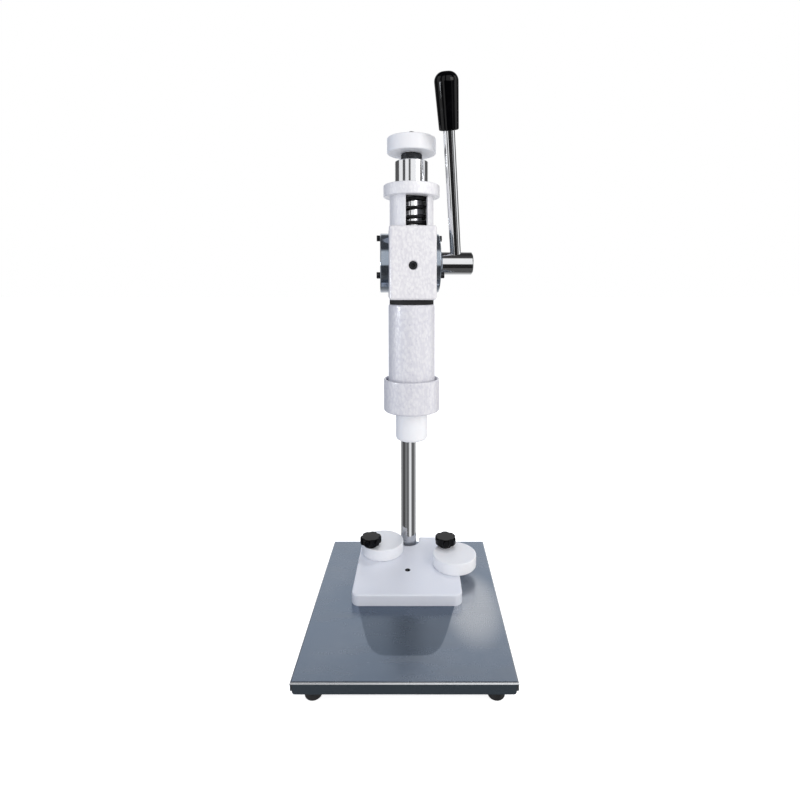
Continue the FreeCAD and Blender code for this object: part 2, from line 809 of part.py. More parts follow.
def make_return_spring():
    """Open coil spring round the ram, between the block and the top guide."""
    wire = value("spring_wire_radius")
    gap = value("spring_end_gap")
    height = value("spring_space") - 2 * wire - 2 * gap
    radius = value("spring_radius")
    turns = value("spring_turns")
    count = round(turns * value("spring_points"))
    spots = []
    for k in range(count + 1):
        angle = 2 * math.pi * turns * k / count
        spots.append(Vector(radius * math.cos(angle), radius * math.sin(angle), wire + gap + height * k / count))
    line = Part.BSplineCurve()
    line.interpolate(spots)
    path = line.toShape()
    start = path.valueAt(path.FirstParameter)
    heading = path.tangentAt(path.FirstParameter)
    section = Part.Wire(Part.Circle(start, heading, wire).toShape())
    coil = Part.Wire(path).makePipeShell([section], True, True)
    new_solid("return_spring", coil, HEAD, at(z=block_top))


# Bearings of the pinion shaft

def make_side_flange(name, side, thickness, blind):
    """Round cover with a spigot in the cross bore and the shaft's bush inside."""
    bore_end = "blind_bush_length - spigot_length + side_gap"
    if blind:
        inside = [("0", thickness), ("0", bore_end), (bearing_radius, bore_end), (bearing_radius, "-spigot_length")]
    else:
        inside = [(bearing_radius, thickness), (bearing_radius, "-spigot_length")]
    corners = [
        ("cross_bore_radius", "-spigot_length"),
        ("cross_bore_radius", "0"),
        ("flange_radius", "0"),
        ("flange_radius", thickness),
    ] + inside
    facing = at(f"{side} * block_width / 2", shaft_back, shaft_height, SIDEWAYS, 90 * side)
    flange = turned(f"{name}_flange", corners, HEAD, facing)
    soften(flange, "Fillet", "flange_edge", rim("flange_radius", thickness))
    holes = new_sketch(flange, "XY_Plane")
    places = around("flange_screw_circle", "flange_screws", "180" if side > 0 else "0")
    for across, along in places:
        draw_circle(holes, across, along, "flange_screw_radius")
    sink(flange, holes, both=True)
    length = value(f"{thickness} + flange_screw_grip")
    screw = cap_screw(value("flange_screw_radius"), length,
                      value("flange_screw_head_radius"), value("flange_screw_head"))
    spots = [Placement(Vector(value(across), value(along), value(thickness)), Rotation())
             for across, along in places]
    new_solid(f"{name}_flange_screws", repeat(screw, spots), HEAD, facing)
    length = "blind_bush_length" if blind else f"spigot_length + {thickness}"
    bush_place = at(f"{side} * {spigot_end}", shaft_back, shaft_height, SIDEWAYS, 90 * side)
    ring(f"{name}_shaft_bush", "shaft_radius + running_gap", bearing_radius, length, HEAD, bush_place)


# Pinion shaft and lever

def involute(base, radius):
    """Angle by which an involute of this base circle has turned at a radius."""
    roll = math.sqrt(max((radius / base) ** 2 - 1, 0))
    return roll - math.atan(roll)


def pinion_outline():
    """Closed wire of the pinion's teeth, with a gap towards negative Y."""
    teeth = round(value("pinion_teeth"))
    pitch = value("gear_module * pinion_teeth / 2")
    base = pitch * math.cos(math.radians(value("pressure_angle")))
    tip = pitch + value("gear_module")
    root = pitch - value("pinion_root_depth")
    half = math.pi / (2 * teeth) - value("tooth_play") / (2 * pitch)
    low = max(base, root)

    def spot(radius, angle):
        return Vector(radius * math.cos(angle), radius * math.sin(angle), 0)

    def lean(radius):
        return half + involute(base, pitch) - involute(base, radius)

    edges = []
    for k in range(teeth):
        middle = -math.pi / 2 + (k + 0.5) * 2 * math.pi / teeth
        following = middle + 2 * math.pi / teeth
        sides = []
        for sign in (-1, 1):
            flank = [spot(radius, middle + sign * lean(radius)) for radius in (low, (low + tip) / 2, tip)]
            foot = spot(root, middle + sign * lean(low))
            sides.append((foot, flank))
        (left_foot, left), (right_foot, right) = sides
        edges.append(Part.LineSegment(left_foot, left[0]).toShape())
        edges.append(Part.Arc(*left).toShape())
        edges.append(Part.Arc(left[2], spot(tip, middle), right[2]).toShape())
        edges.append(Part.Arc(right[2], right[1], right[0]).toShape())
        edges.append(Part.LineSegment(right[0], right_foot).toShape())
        valley = spot(root, (middle + following) / 2)
        edges.append(Part.Arc(right_foot, valley, spot(root, following - lean(low))).toShape())
    return Part.Wire(Part.sortEdges(edges)[0])


def make_pinion_shaft():
    """Shaft cut in one piece with the pinion that drives the rack."""
    width = value("pinion_width")
    gear = Part.Face(pinion_outline()).extrude(Vector(0, 0, width))
    gear.translate(Vector(0, 0, -width / 2))
    shoulder = value(f"{spigot_end} - side_gap")
    left_end = value(f"{spigot_end} + blind_bush_length - side_gap")
    right_end = value(f"{hub_start} + hub_bore_depth")
    shaft = Part.makeCylinder(value("shaft_radius"), left_end + right_end, Vector(0, 0, -left_end))
    collar = Part.makeCylinder(value("shoulder_radius"), 2 * shoulder, Vector(0, 0, -shoulder))
    new_solid("pinion_shaft", shaft.fuse([collar, gear]).removeSplitter(),
              HEAD, at(y=shaft_back, z=shaft_height, axis=SIDEWAYS, turn=90))


def make_lever():
    ring("thrust_washer", "shaft_radius", "thrust_washer_radius", "thrust_washer_thickness",
         LEVER, at(f"{hub_start} - thrust_washer_thickness", axis=SIDEWAYS, turn=90))
    hub = turned("lever_hub", [
        ("shaft_radius", "0"),
        ("hub_radius", "0"),
        ("hub_radius", "hub_length"),
        ("0", "hub_length"),
        ("0", "hub_bore_depth"),
        ("shaft_radius", "hub_bore_depth"),
    ], LEVER, at(hub_start, axis=SIDEWAYS, turn=90))
    soften(hub, "Chamfer", "hub_chamfer", rims(("hub_radius", "0"), ("hub_radius", "hub_length")))
    socket = new_sketch(hub, "YZ_Plane")
    tilt = "placement(vector(0; hub_length / 2; 0); rotation(vector(1; 0; 0); -lever_cant))"
    socket.setExpression("AttachmentOffset.Base.z", None)
    socket.setExpression("AttachmentOffset", formula(tilt))
    draw_circle(socket, "0", "0", "rod_radius")
    sink(hub, socket)
    tapped = new_sketch(hub, "YZ_Plane")
    draw_circle(tapped, "0", "hub_screw_place", "hub_screw_radius")
    sink(hub, tapped, back=True)
    screw = set_screw(value("hub_screw_radius"), value("hub_radius - shaft_radius - 1"), value("hub_socket"))
    new_solid("hub_set_screw", screw,
              LEVER, at(f"{hub_start} + hub_screw_place", z="-hub_radius + 1", axis="1; 0; 0", turn=180))

    along_rod = at(hub_middle, axis=SIDEWAYS, turn="-lever_cant")
    rod_end = "(grip_start + rod_in_grip)"
    turned("lever_rod", [("0", "rod_start"), ("rod_radius", "rod_start"), ("rod_radius", rod_end), ("0", rod_end)],
           LEVER, along_rod)
    grip = turned("lever_grip", [
        ("rod_radius", "0"),
        ("grip_small_radius", "0"),
        ("grip_big_radius", "grip_length - grip_crown"),
        ("grip_big_radius", "grip_length"),
        ("0", "grip_length"),
        ("0", "rod_in_grip"),
        ("rod_radius", "rod_in_grip"),
    ], LEVER, along_rod, at(z="grip_start"))
    soften(grip, "Fillet", "grip_crown - 0.5", rim("grip_big_radius", "grip_length"))
    soften(grip, "Fillet", "grip_edge", rim("grip_small_radius", "0"))


# Ram and what it carries

def make_ram():
    """Round ram with rack teeth at its back and a flat for the gib at its front."""
    top = f"({guide_bottom} - {barrel_top})"
    ram = turned("rack_ram", [
        ("0", "-ram_spigot_length"),
        ("ram_spigot_radius", "-ram_spigot_length"),
        ("ram_spigot_radius", "0"),
        ("ram_radius", "0"),
        ("ram_radius", top),
        ("ram_top_radius", top),
        ("ram_top_radius", f"{top} + ram_top_length"),
        ("0", f"{top} + ram_top_length"),
    ], HEAD, at(z=barrel_top))
    level = f"({shaft_height} - {barrel_top})"
    tips = "(rack_line + rack_addendum)"
    back = new_sketch(ram, "YZ_Plane")
    draw_rectangle(back, tips, f"{level} - rack_flat_margin",
                   "ram_radius + 1", f"{level} + ram_travel + rack_flat_margin")
    sink(ram, back, both=True)
    front = new_sketch(ram, "YZ_Plane")
    gib_level = f"({gib_height} - {barrel_top})"
    draw_rectangle(front, "-ram_radius - 1", f"{gib_level} - 1.5 * gib_radius",
                   "-gib_flat", f"{gib_level} + ram_travel + 1.5 * gib_radius")
    sink(ram, front, both=True)

    middle = f"({level} - rack_gaps_below * {tooth_pitch})"
    slope = "tan(pressure_angle)"
    half = f"({tooth_pitch} / 4 + tooth_play / 2)"
    mouth_half = f"({half} + (rack_addendum + 0.5) * {slope})"
    root_half = f"({half} - rack_dedendum * {slope})"
    gap = new_sketch(ram, "YZ_Plane")
    draw_polygon(gap, [
        ("rack_line - rack_dedendum", f"{middle} - {root_half}"),
        (f"{tips} + 0.5", f"{middle} - {mouth_half}"),
        (f"{tips} + 0.5", f"{middle} + {mouth_half}"),
        ("rack_line - rack_dedendum", f"{middle} + {root_half}"),
    ])
    cut = sink(ram, gap, both=True)
    teeth = ram.newObject("PartDesign::LinearPattern", "rack_ram_teeth")
    teeth.Originals = [cut]
    teeth.Direction = (gap, ["V_Axis"])
    teeth.setExpression("Length", formula(f"(rack_gaps - 1) * {tooth_pitch}"))
    teeth.setExpression("Occurrences", formula("rack_gaps"))
    ram.Tip = teeth


def make_ram_ends():
    guide = turned("top_guide", [
        ("ram_top_radius", "0"),
        ("guide_radius", "0"),
        ("guide_radius", "guide_length"),
        ("depth_screw_radius + running_gap", "guide_length"),
        ("depth_screw_radius + running_gap", "ram_top_length + guide_web"),
        ("0", "ram_top_length + guide_web"),
        ("0", "ram_top_length"),
        ("ram_top_radius", "ram_top_length"),
    ], HEAD, at(z=guide_bottom))
    soften(guide, "Chamfer", "guide_chamfer", rims(("guide_radius", "0"), ("guide_radius", "guide_length")))

    barrel = turned("barrel", [
        ("0", "press_stud_grip"),
        ("press_stud_radius", "press_stud_grip"),
        ("press_stud_radius", "0"),
        ("barrel_radius", "0"),
        ("barrel_radius", "barrel_length"),
        ("ram_spigot_radius", "barrel_length"),
        ("ram_spigot_radius", "barrel_length - ram_spigot_length"),
        ("0", "barrel_length - ram_spigot_length"),
    ], HEAD, at(z=barrel_bottom))
    soften(barrel, "Fillet", "barrel_edge", rims(("barrel_radius", "0"), ("barrel_radius", "barrel_length")))

    rim_top = "(press_ring_floor + press_ring_rim)"
    press_ring = turned("press_ring", [
        ("press_stud_radius", "press_head_seat"),
        ("press_head_radius", "press_head_seat"),
        ("press_head_radius", "0"),
        ("press_ring_radius", "0"),
        ("press_ring_radius", rim_top),
        ("press_ring_recess_radius", rim_top),
        ("press_ring_recess_radius", "press_ring_floor"),
        ("press_stud_radius", "press_ring_floor"),
    ], HEAD, at(z=ring_bottom))
    soften(press_ring, "Fillet", "press_ring_edge",
           rims(("press_ring_radius", rim_top), ("press_ring_recess_radius", rim_top)))
    soften(press_ring, "Fillet", "press_ring_lower_edge", rim("press_ring_radius", "0"))

    head = turned("press_head", [
        ("0", "0"),
        ("press_head_radius", "0"),
        ("press_head_radius", "press_head_length"),
        ("press_stud_radius", "press_head_length"),
        ("press_stud_radius", "press_head_length - press_stud_grip"),
        ("0", "press_head_length - press_stud_grip"),
    ], HEAD, at(z=press_face))
    soften(head, "Fillet", "press_head_edge", rim("press_head_radius", "0"))
    stud_length = "(press_ring_floor - press_head_seat + 2 * press_stud_grip)"
    turned("press_stud", [("0", "0"), ("press_stud_radius", "0"), ("press_stud_radius", stud_length),
                          ("0", stud_length)],
           HEAD, at(z=f"{ring_bottom} + press_head_seat - press_stud_grip"))


def make_stop_knob():
    """Depth screw in the top guide with its lock ring, stop knob and cap nut."""
    seat = "(lock_ring_height + stop_knob_seat)"
    tip = "(lock_ring_height + stop_knob_height + cap_nut_thread)"
    turned("depth_screw", [
        ("0", "-depth_screw_reach"),
        ("depth_screw_radius", "-depth_screw_reach"),
        ("depth_screw_radius", seat),
        ("depth_screw_tip_radius", seat),
        ("depth_screw_tip_radius", tip),
        ("0", tip),
    ], HEAD, at(z=guide_top))
    lock = ring("lock_ring", "depth_screw_radius", "lock_ring_radius", "lock_ring_height", HEAD, at(z=guide_top))
    soften(lock, "Chamfer", "lock_ring_edge",
           rims(("lock_ring_radius", "0"), ("lock_ring_radius", "lock_ring_height")))
    knob = turned("stop_knob", [
        ("depth_screw_radius", "0"),
        ("stop_knob_radius", "0"),
        ("stop_knob_radius", "stop_knob_height"),
        ("depth_screw_tip_radius", "stop_knob_height"),
        ("depth_screw_tip_radius", "stop_knob_seat"),
        ("depth_screw_radius", "stop_knob_seat"),
    ], HEAD, at(z=knob_bottom))
    soften(knob, "Fillet", "stop_knob_edge",
           rims(("stop_knob_radius", "0"), ("stop_knob_radius", "stop_knob_height")))
    nut = turned("knob_cap_nut", [
        ("depth_screw_tip_radius", "0"),
        ("cap_nut_radius", "0"),
        ("cap_nut_radius", "cap_nut_height"),
        ("0", "cap_nut_height"),
        ("0", "cap_nut_thread"),
        ("depth_screw_tip_radius", "cap_nut_thread"),
    ], HEAD, at(z=knob_top))
    soften(nut, "Fillet", "cap_nut_crown", rim("cap_nut_radius", "cap_nut_height"))


def check_model():
    """Stop before anything is written if a feature failed or a cut removed nothing."""
    for item in doc.Objects:
        if "Invalid" in item.State or "Error" in item.State:
            raise RuntimeError(f"{item.Name} failed: {item.State}")
        if item.TypeId == "PartDesign::Pocket":
            removed = item.BaseFeature.Shape.Volume - item.Shape.Volume
            if removed < 1e-3:
                raise RuntimeError(f"{item.Name} cuts nothing")
    for piece in pieces:
        shape = piece.Shape
        if shape.isNull() or not shape.isValid() or not shape.Solids:
            raise RuntimeError(f"{piece.Label} has no valid shape")


def main():
    make_base_cover()
    make_base_slab()
    make_feet()
    make_column()
    make_locating_plate()
    make_stop("left", "-pivot_side", "left_disc_turn")
    make_stop("right", "pivot_side", "right_disc_turn")
    make_height_collar()
    make_press_block()
    make_head_linings()
    make_spring_tube()
    make_return_spring()
    make_side_flange("left", -1, "left_flange_thickness", blind=True)
    make_side_flange("right", 1, "right_flange_thickness", blind=False)
    make_pinion_shaft()
    make_lever()
    make_ram()
    make_ram_ends()
    make_stop_knob()
    doc.recompute()
    check_model()
    os.makedirs("parts", exist_ok=True)
    for piece in pieces:
        piece.Shape.exportStep(f"parts/{piece.Label}.step")
    print(len(pieces), "pieces written")


main()
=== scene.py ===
# %% [markdown]
# A hand press that caps perfume bottles.
#
# The press arrives as an exact metal model: every plate, screw and gear tooth already has its shape and its
# place. What it lacks is a surface. This lesson dresses it. It sets up the camera and a small white studio,
# writes one finish for each real material of the machine, and adds the few forms that look better when they
# are made as a mesh, such as the coil spring round the ram.

# %% Load the model
import json
import math

import bpy
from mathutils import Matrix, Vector


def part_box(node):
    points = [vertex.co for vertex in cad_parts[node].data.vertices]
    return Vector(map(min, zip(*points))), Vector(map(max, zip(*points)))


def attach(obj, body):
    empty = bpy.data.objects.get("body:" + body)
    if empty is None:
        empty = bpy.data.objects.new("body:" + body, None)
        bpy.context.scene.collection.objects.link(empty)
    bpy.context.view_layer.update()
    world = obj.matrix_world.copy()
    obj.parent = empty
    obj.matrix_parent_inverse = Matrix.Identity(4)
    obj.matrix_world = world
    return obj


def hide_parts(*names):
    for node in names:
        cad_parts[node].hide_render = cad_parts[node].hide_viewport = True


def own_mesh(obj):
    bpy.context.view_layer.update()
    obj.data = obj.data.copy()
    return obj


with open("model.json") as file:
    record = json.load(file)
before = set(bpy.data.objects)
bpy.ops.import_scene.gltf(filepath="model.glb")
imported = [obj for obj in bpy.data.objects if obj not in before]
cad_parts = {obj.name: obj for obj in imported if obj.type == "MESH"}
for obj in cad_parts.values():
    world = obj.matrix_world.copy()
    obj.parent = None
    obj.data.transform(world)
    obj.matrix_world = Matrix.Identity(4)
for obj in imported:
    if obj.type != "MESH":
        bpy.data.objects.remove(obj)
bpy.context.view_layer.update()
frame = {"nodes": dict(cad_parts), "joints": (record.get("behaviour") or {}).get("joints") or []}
MM = 0.001
print("pieces in the model:", len(frame["nodes"]))

# %% [markdown]
# The camera.
#
# A lens is described by how many pixels one metre covers at a distance of one metre. The straight edges of
# the base give that number, because they run towards one vanishing point. The press was photographed almost
# level, from a little above the middle, with the picture slid down to take in the base. Tilting the camera
# down would do the same, but upright edges would lean. A slid picture keeps them upright, as an architect's
# lens does, so the camera is nearly level here too.

# %% Place the camera
PICTURE = 800
FOCAL_PIXELS = 501.9
AXIS_PIXEL = (417.2, 305.0)
CAMERA_PLACE = (0.01391, -0.6756, 0.46486)
CAMERA_TILT = 2.49
SENSOR_WIDTH = 36
NEAREST = 10 * MM

camera_data = bpy.data.cameras.new("press_camera")
camera_data.sensor_width = SENSOR_WIDTH
camera_data.lens = FOCAL_PIXELS / PICTURE * SENSOR_WIDTH
camera_data.shift_x = (PICTURE / 2 - AXIS_PIXEL[0]) / PICTURE
camera_data.shift_y = (AXIS_PIXEL[1] - PICTURE / 2) / PICTURE
camera_data.clip_start = NEAREST
camera = bpy.data.objects.new("press_camera", camera_data)
camera.location = CAMERA_PLACE
camera.rotation_euler = (math.radians(90 - CAMERA_TILT), 0, 0)
bpy.context.scene.collection.objects.link(camera)
bpy.context.scene.camera = camera
bpy.context.scene.view_settings.view_transform = "Standard"
print("lens in mm:", round(camera_data.lens, 2))

# %% [markdown]
# Shader maths in plain Python.
#
# A procedural finish is a recipe: a coordinate goes in, patterns are made from it, and colour, gloss and
# relief come out. Each step is a node. The nodes could be wired one by one, as in Blender's editor, but that
# hides the sum behind the wiring. So one small class wraps a node's output and lets Python's own signs add,
# multiply and divide it. Writing 1 - mask then makes the right Math node by itself.

# %% A wire that does arithmetic
class Wire:
    """One output of a node."""

    def __init__(self, recipe, output):
        self.recipe = recipe
        self.output = output

    def do(self, operation, *values):
        return self.recipe.node("ShaderNodeMath", {"operation": operation}, dict(enumerate(values)))

    def __add__(self, other):
        return self.do("ADD", self, other)

    __radd__ = __add__

    def __sub__(self, other):
        return self.do("SUBTRACT", self, other)

    def __rsub__(self, other):
        return self.do("SUBTRACT", other, self)

    def __mul__(self, other):
        return self.do("MULTIPLY", self, other)

    __rmul__ = __mul__

    def __truediv__(self, other):
        return self.do("DIVIDE", self, other)

    def __rtruediv__(self, other):
        return self.do("DIVIDE", other, self)

    def __pow__(self, other):
        return self.do("POWER", self, other)

    def __rpow__(self, other):
        return self.do("POWER", other, self)

    def size(self):
        return self.do("ABSOLUTE", self)

    def wave(self):
        return self.do("SINE", self)

    def step(self, low, high):
        """0 below low, 1 above high and a soft slope between them."""
        values = {"Value": self, "From Min": low, "From Max": high}
        return self.recipe.node("ShaderNodeMapRange", {"interpolation_type": "SMOOTHSTEP"}, values)


print("signs that a wire knows:", [n for n in dir(Wire) if n.startswith("__r")])

# %% [markdown]
# Materials and sky are both trees of nodes.
#
# One class holds such a tree and has the single method that adds a node: the settings first, then the numbers
# or wires of its sockets. The finishes of the machine and the sky of the studio both build on it, so each
# pattern is written once.

# %% A recipe of nodes
class Recipe:
    """A tree of nodes, with the patterns that materials and sky share."""

    def __init__(self, tree):
        self.tree = tree

    def node(self, kind, settings, values, result=0):
        made = self.tree.nodes.new(kind)
        for key, setting in settings.items():
            if key == "stops":
                self.fill_ramp(made.color_ramp, setting)
            else:
                setattr(made, key, setting)
        for key, amount in values.items():
            self.put(made.inputs[key], amount)
        return Wire(self, made.outputs[result])

    def put(self, socket, amount):
        if isinstance(amount, Wire):
            self.tree.links.new(amount.output, socket)
        else:
            socket.default_value = amount

    def fill_ramp(self, ramp, stops):
        while len(ramp.elements) < len(stops):
            ramp.elements.new(0.5)
        for element, (position, color) in zip(ramp.elements, stops):
            element.position = position
            element.color = (*color, 1)

    def parts(self, spot):
        """The three numbers of a coordinate."""
        first = self.node("ShaderNodeSeparateXYZ", {}, {0: spot})
        return [Wire(self, output) for output in first.output.node.outputs]

    def mix(self, mask, first, second, way="MIX"):
        """The first colour where the mask is 0. Where it is 1 the second, or both blended another way."""
        colors = [c if isinstance(c, Wire) else (*c, 1) for c in (first, second)]
        settings = {"data_type": "RGBA", "blend_type": way}
        return self.node("ShaderNodeMix", settings, {0: mask, 6: colors[0], 7: colors[1]}, 2)

    def compass(self, x, y):
        """Degrees round the upright axis: 0 towards the operator, 90 to the right."""
        return self.node("ShaderNodeMath", {"operation": "ARCTAN2"}, {0: x, 1: y * -1}) * (180 / math.pi)

    def bands(self, along, low, high, stops):
        """Colours along a number. A stop is a place from low to high, and a colour or a grey."""
        share = self.node("ShaderNodeMapRange", {}, {"Value": along, "From Min": low, "From Max": high})
        colors = [light if isinstance(light, tuple) else (light, light, light) for place, light in stops]
        shares = [(place - low) / (high - low) for place, light in stops]
        return self.node("ShaderNodeValToRGB", {"stops": list(zip(shares, colors))}, {"Fac": share}, "Color")


print("what every recipe can do:", [n for n in vars(Recipe) if not n.startswith("_")])

# %% [markdown]
# A finish is one material.
#
# It holds a Principled shader, whose fixed numbers are set straight on its sockets. Patterns are measured in
# metres of the real machine, so a scratch or a wrinkle keeps its size on every piece. The coordinate could
# come from an unwrapped picture, but these pieces are turned, milled and cast, and their marks follow their
# own axes. So it comes from the object, and the pattern stays on the metal when the view or the lever moves.

# %% A finish and its patterns
class Finish(Recipe):
    """One material, with short names for the patterns that it needs."""

    def __init__(self, name, **fixed):
        self.material = bpy.data.materials.new(name)
        self.material.use_nodes = True
        super().__init__(self.material.node_tree)
        self.shader = self.tree.nodes["Principled BSDF"]
        for word, amount in fixed.items():
            self.shader.inputs[word.replace("_", " ")].default_value = amount
        self.spot = self.node("ShaderNodeTexCoord", {}, {}, "Object")

    def feed(self, **varying):
        for word, amount in varying.items():
            self.put(self.shader.inputs[word.replace("_", " ")], amount)
        return self.material

    def centred(self, centre, turn=(0, 0, 0)):
        """The coordinate seen from a centre, with the axes turned."""
        values = {"Vector": self.spot, "Location": centre, "Rotation": turn}
        return self.node("ShaderNodeMapping", {"vector_type": "TEXTURE"}, values)

    def stretched(self, spot, amounts):
        return self.node("ShaderNodeVectorMath", {"operation": "MULTIPLY"}, {0: spot, 1: amounts})

    def noise(self, size, spot=None, detail=3, roughness=0.55):
        values = {"Vector": spot or self.spot, "Scale": 1 / size, "Detail": detail, "Roughness": roughness}
        return self.node("ShaderNodeTexNoise", {}, values, "Fac")

    def cells(self, size, spot=None, softness=0.6):
        values = {"Vector": spot or self.spot, "Scale": 1 / size, "Smoothness": softness}
        return self.node("ShaderNodeTexVoronoi", {"feature": "SMOOTH_F1"}, values, "Distance")

    def relief(self, height, depth):
        """A surface direction that looks raised by the height times the depth in metres."""
        return self.node("ShaderNodeBump", {}, {"Height": height, "Distance": depth, "Strength": 1.0})


print("patterns that a finish adds:", [n for n in vars(Finish) if not n.startswith("_")])

# %% [markdown]
# Where the round pieces turn.
#
# Turned and ground metal carries lines that run round its own axis, so several finishes need to know where
# an axis is. The press head is swung a few degrees about the column. The lever's joint gives that angle, the
# barrel gives the ram's axis, and the column stands upright by itself.

# %% Axes of the machine
def middle(node):
    low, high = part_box(node)
    return (low + high) / 2


lever_joint = next(joint for joint in frame["joints"] if joint["name"] == "lever_turn")
shaft_place = Vector(lever_joint["pos_m"])
shaft_way = Vector(lever_joint["axis"])
head_turn = math.atan2(shaft_way.y, shaft_way.x)
ram_place = middle("barrel")
column_place = middle("column")
print("head swung by", round(math.degrees(head_turn), 1), "degrees")
print("ram axis at", [round(v / MM, 1) for v in ram_place[:2]], "mm")

# %% [markdown]
# Hammered paint.
#
# The castings are sprayed with a thick silver-white lacquer that shrinks as it dries and leaves a skin of
# shallow dimples between soft ridges. Noise alone would give lumps without edges, so a smooth cell pattern
# gives the dimples, and bending its coordinate with a noise keeps the cells from looking like a honeycomb.
# The ridges catch the light and the hollows look a little greyer and bluer, so the same pattern drives
# colour, gloss and relief. Small flecks of a darker tone break up the pale ground.

# %% Hammered paint
PAINT_BEND = 9 * MM


def hammered_paint(name, pale, hollow, size=3.2 * MM):
    finish = Finish(name, Coat_Roughness=0.12, Coat_IOR=1.5, Metallic=0.08)
    bend = finish.node("ShaderNodeTexNoise", {}, {"Vector": finish.spot, "Scale": 1 / PAINT_BEND}, "Color")
    push = finish.node("ShaderNodeVectorMath", {"operation": "MULTIPLY"}, {0: bend, 1: (size, size, size)})
    bent = finish.node("ShaderNodeVectorMath", {"operation": "ADD"}, {0: finish.spot, 1: push})
    streaked = finish.stretched(bent, (1, 1, 0.62))
    dimple = finish.cells(size, streaked, 0.85)
    pits = finish.cells(size / 3, bent, 0.5)
    grain = finish.noise(0.9 * MM, detail=2)
    patch = finish.noise(38 * MM, detail=2).step(0.38, 0.68)
    fleck = finish.noise(2.2 * MM, finish.stretched(bent, (1, 1, 0.7)), 2).step(0.62, 0.7)
    height = 1 - dimple * 1.2 - pits * 0.18 + grain * 0.12
    low = 1 - height.step(0.2, 0.72)
    tone = low * 0.4 + patch * 0.15 + fleck * 0.45
    return finish.feed(
        Base_Color=finish.mix(tone, pale, hollow),
        Roughness=0.34 + low * 0.14,
        Coat_Weight=0.5 - low * 0.25,
        Normal=finish.relief(height, 0.32 * MM),
    )


# One paint in three copies: the barrel and ring get a darker copy as painted shade, and the guide collar and
# spring tube a paler copy as painted light.
iron_paint = hammered_paint("hammered_paint_on_iron", (0.89, 0.885, 0.9), (0.66, 0.65, 0.71))
barrel_paint_shaded = hammered_paint("hammered_paint_shaded_on_barrel", (0.84, 0.84, 0.87), (0.6, 0.6, 0.68), 3.6 * MM)
collar_paint_lit = hammered_paint("hammered_paint_lit_on_collar", (0.94, 0.94, 0.955), (0.75, 0.75, 0.81), 3 * MM)
print("paint finishes:", iron_paint.name, barrel_paint_shaded.name, collar_paint_lit.name)

# %% [markdown]
# White nylon.
#
# The locating plate, the stop discs, the press head and the stop knob are cut from white nylon, which light
# enters a little way before it comes out. Plain white would look like plaster, so a small amount of
# scattering under the surface gives the waxy look. The cutter leaves very fine lines: straight ones on a
# milled plate, rings on a turned disc. That is why there are two nylons, with the same fixed numbers.

# %% White nylon
NYLON = {
    "Subsurface_Weight": 0.18, "Subsurface_Scale": 4 * MM, "Subsurface_Radius": (1.0, 0.9, 0.85),
    "Coat_Weight": 0.12, "IOR": 1.53,
}


def grooves(pitch):
    """How far a wave turns per metre, when its lines lie a pitch apart."""
    return 2 * math.pi / pitch


def milled_nylon(name):
    finish = Finish(name, **NYLON)
    x, y, z = finish.parts(finish.spot)
    lines = (x * grooves(1.1 * MM) + finish.noise(26 * MM) * 9).wave()
    cloud = finish.noise(45 * MM, detail=4)
    dust = finish.noise(1.2 * MM, detail=2).step(0.62, 0.74)
    rub = finish.noise(6 * MM, finish.stretched(finish.spot, (1, 0.16, 1)), 4).step(0.58, 0.72)
    return finish.feed(
        Base_Color=finish.mix(cloud * 0.55 + dust * 0.12, (0.86, 0.88, 0.94), (0.77, 0.8, 0.88)),
        Roughness=0.36 + cloud * 0.14 + rub * 0.14,
        Normal=finish.relief(lines * 0.5 + rub * 0.6, 0.012 * MM),
    )


def turned_nylon(name, centre):
    finish = Finish(name, **NYLON)
    x, y, z = finish.parts(finish.centred(centre))
    radius = (x * x + y * y) ** 0.5
    rings = (radius * grooves(0.9 * MM) + z * grooves(0.7 * MM)).wave()
    cloud = finish.noise(30 * MM, detail=4)
    scuff = finish.noise(3 * MM, finish.stretched(finish.spot, (1, 1, 3)), 4).step(0.6, 0.76)
    return finish.feed(
        Base_Color=finish.mix(cloud * 0.5 + scuff * 0.18, (0.93, 0.94, 0.965), (0.85, 0.87, 0.92)),
        Roughness=0.34 + cloud * 0.14 + scuff * 0.2,
        Normal=finish.relief(rings * 0.45 + scuff * 0.5, 0.014 * MM),
    )


plate_nylon = milled_nylon("nylon_plate")
left_disc_nylon = turned_nylon("nylon_left_disc", middle("left_stop_disc"))
right_disc_nylon = turned_nylon("nylon_right_disc", middle("right_stop_disc"))
ram_nylon = turned_nylon("nylon_press_head", ram_place)
knob_nylon = turned_nylon("nylon_stop_knob", middle("stop_knob"))
print("nylon finishes:", plate_nylon.name, ram_nylon.name, knob_nylon.name)

# %% [markdown]
# The steel cover of the base.
#
# The base is a folded sheet of satin stainless steel, and its top has a hazy grey-blue film. In front of the
# plate the top has a dark patch, a painted dark reflection. A light patch at the right is a painted glow, the
# folded sides are painted much darker than the top as painted shade, and the bend between them gets a painted
# highlight. All this could be three materials on three sets of faces, but the marks run into each other, so
# it is one finish with soft masks. The surface direction tells the top from the sides, and long thin noise
# makes the rolled grain.

# %% Base steel
FILM_COLORS = ((0.2, 0.25, 0.325), (0.25, 0.295, 0.365))
SMEAR_COLOR = (0.33, 0.36, 0.41)
# The next four colours are painted light and shade: a dark reflection, a glow, a bend highlight, shaded
# sides.
PAINTED_DARK_REFLECTION_COLOR = (0.08, 0.11, 0.155)
PAINTED_GLOW_COLOR = (0.66, 0.68, 0.71)
BEND_HIGHLIGHT_COLOR = (0.8, 0.82, 0.84)
SHADED_SIDE_COLORS = ((0.052, 0.072, 0.088), (0.078, 0.094, 0.112))
DARK_REFLECTION_PLACE = (-0.5 * MM, -26 * MM)
DARK_REFLECTION_HALF_WIDTH = 63 * MM
DARK_REFLECTION_NARROWING = 0.26
DARK_REFLECTION_REACH = 84 * MM
DARK_REFLECTION_SQUARENESS = 6
DARK_REFLECTION_BACK = (-18 * MM, -12 * MM)
PAINTED_GLOW_PLACE = (88 * MM, -20 * MM)
PAINTED_GLOW_REACH = (45 * MM, 90 * MM)


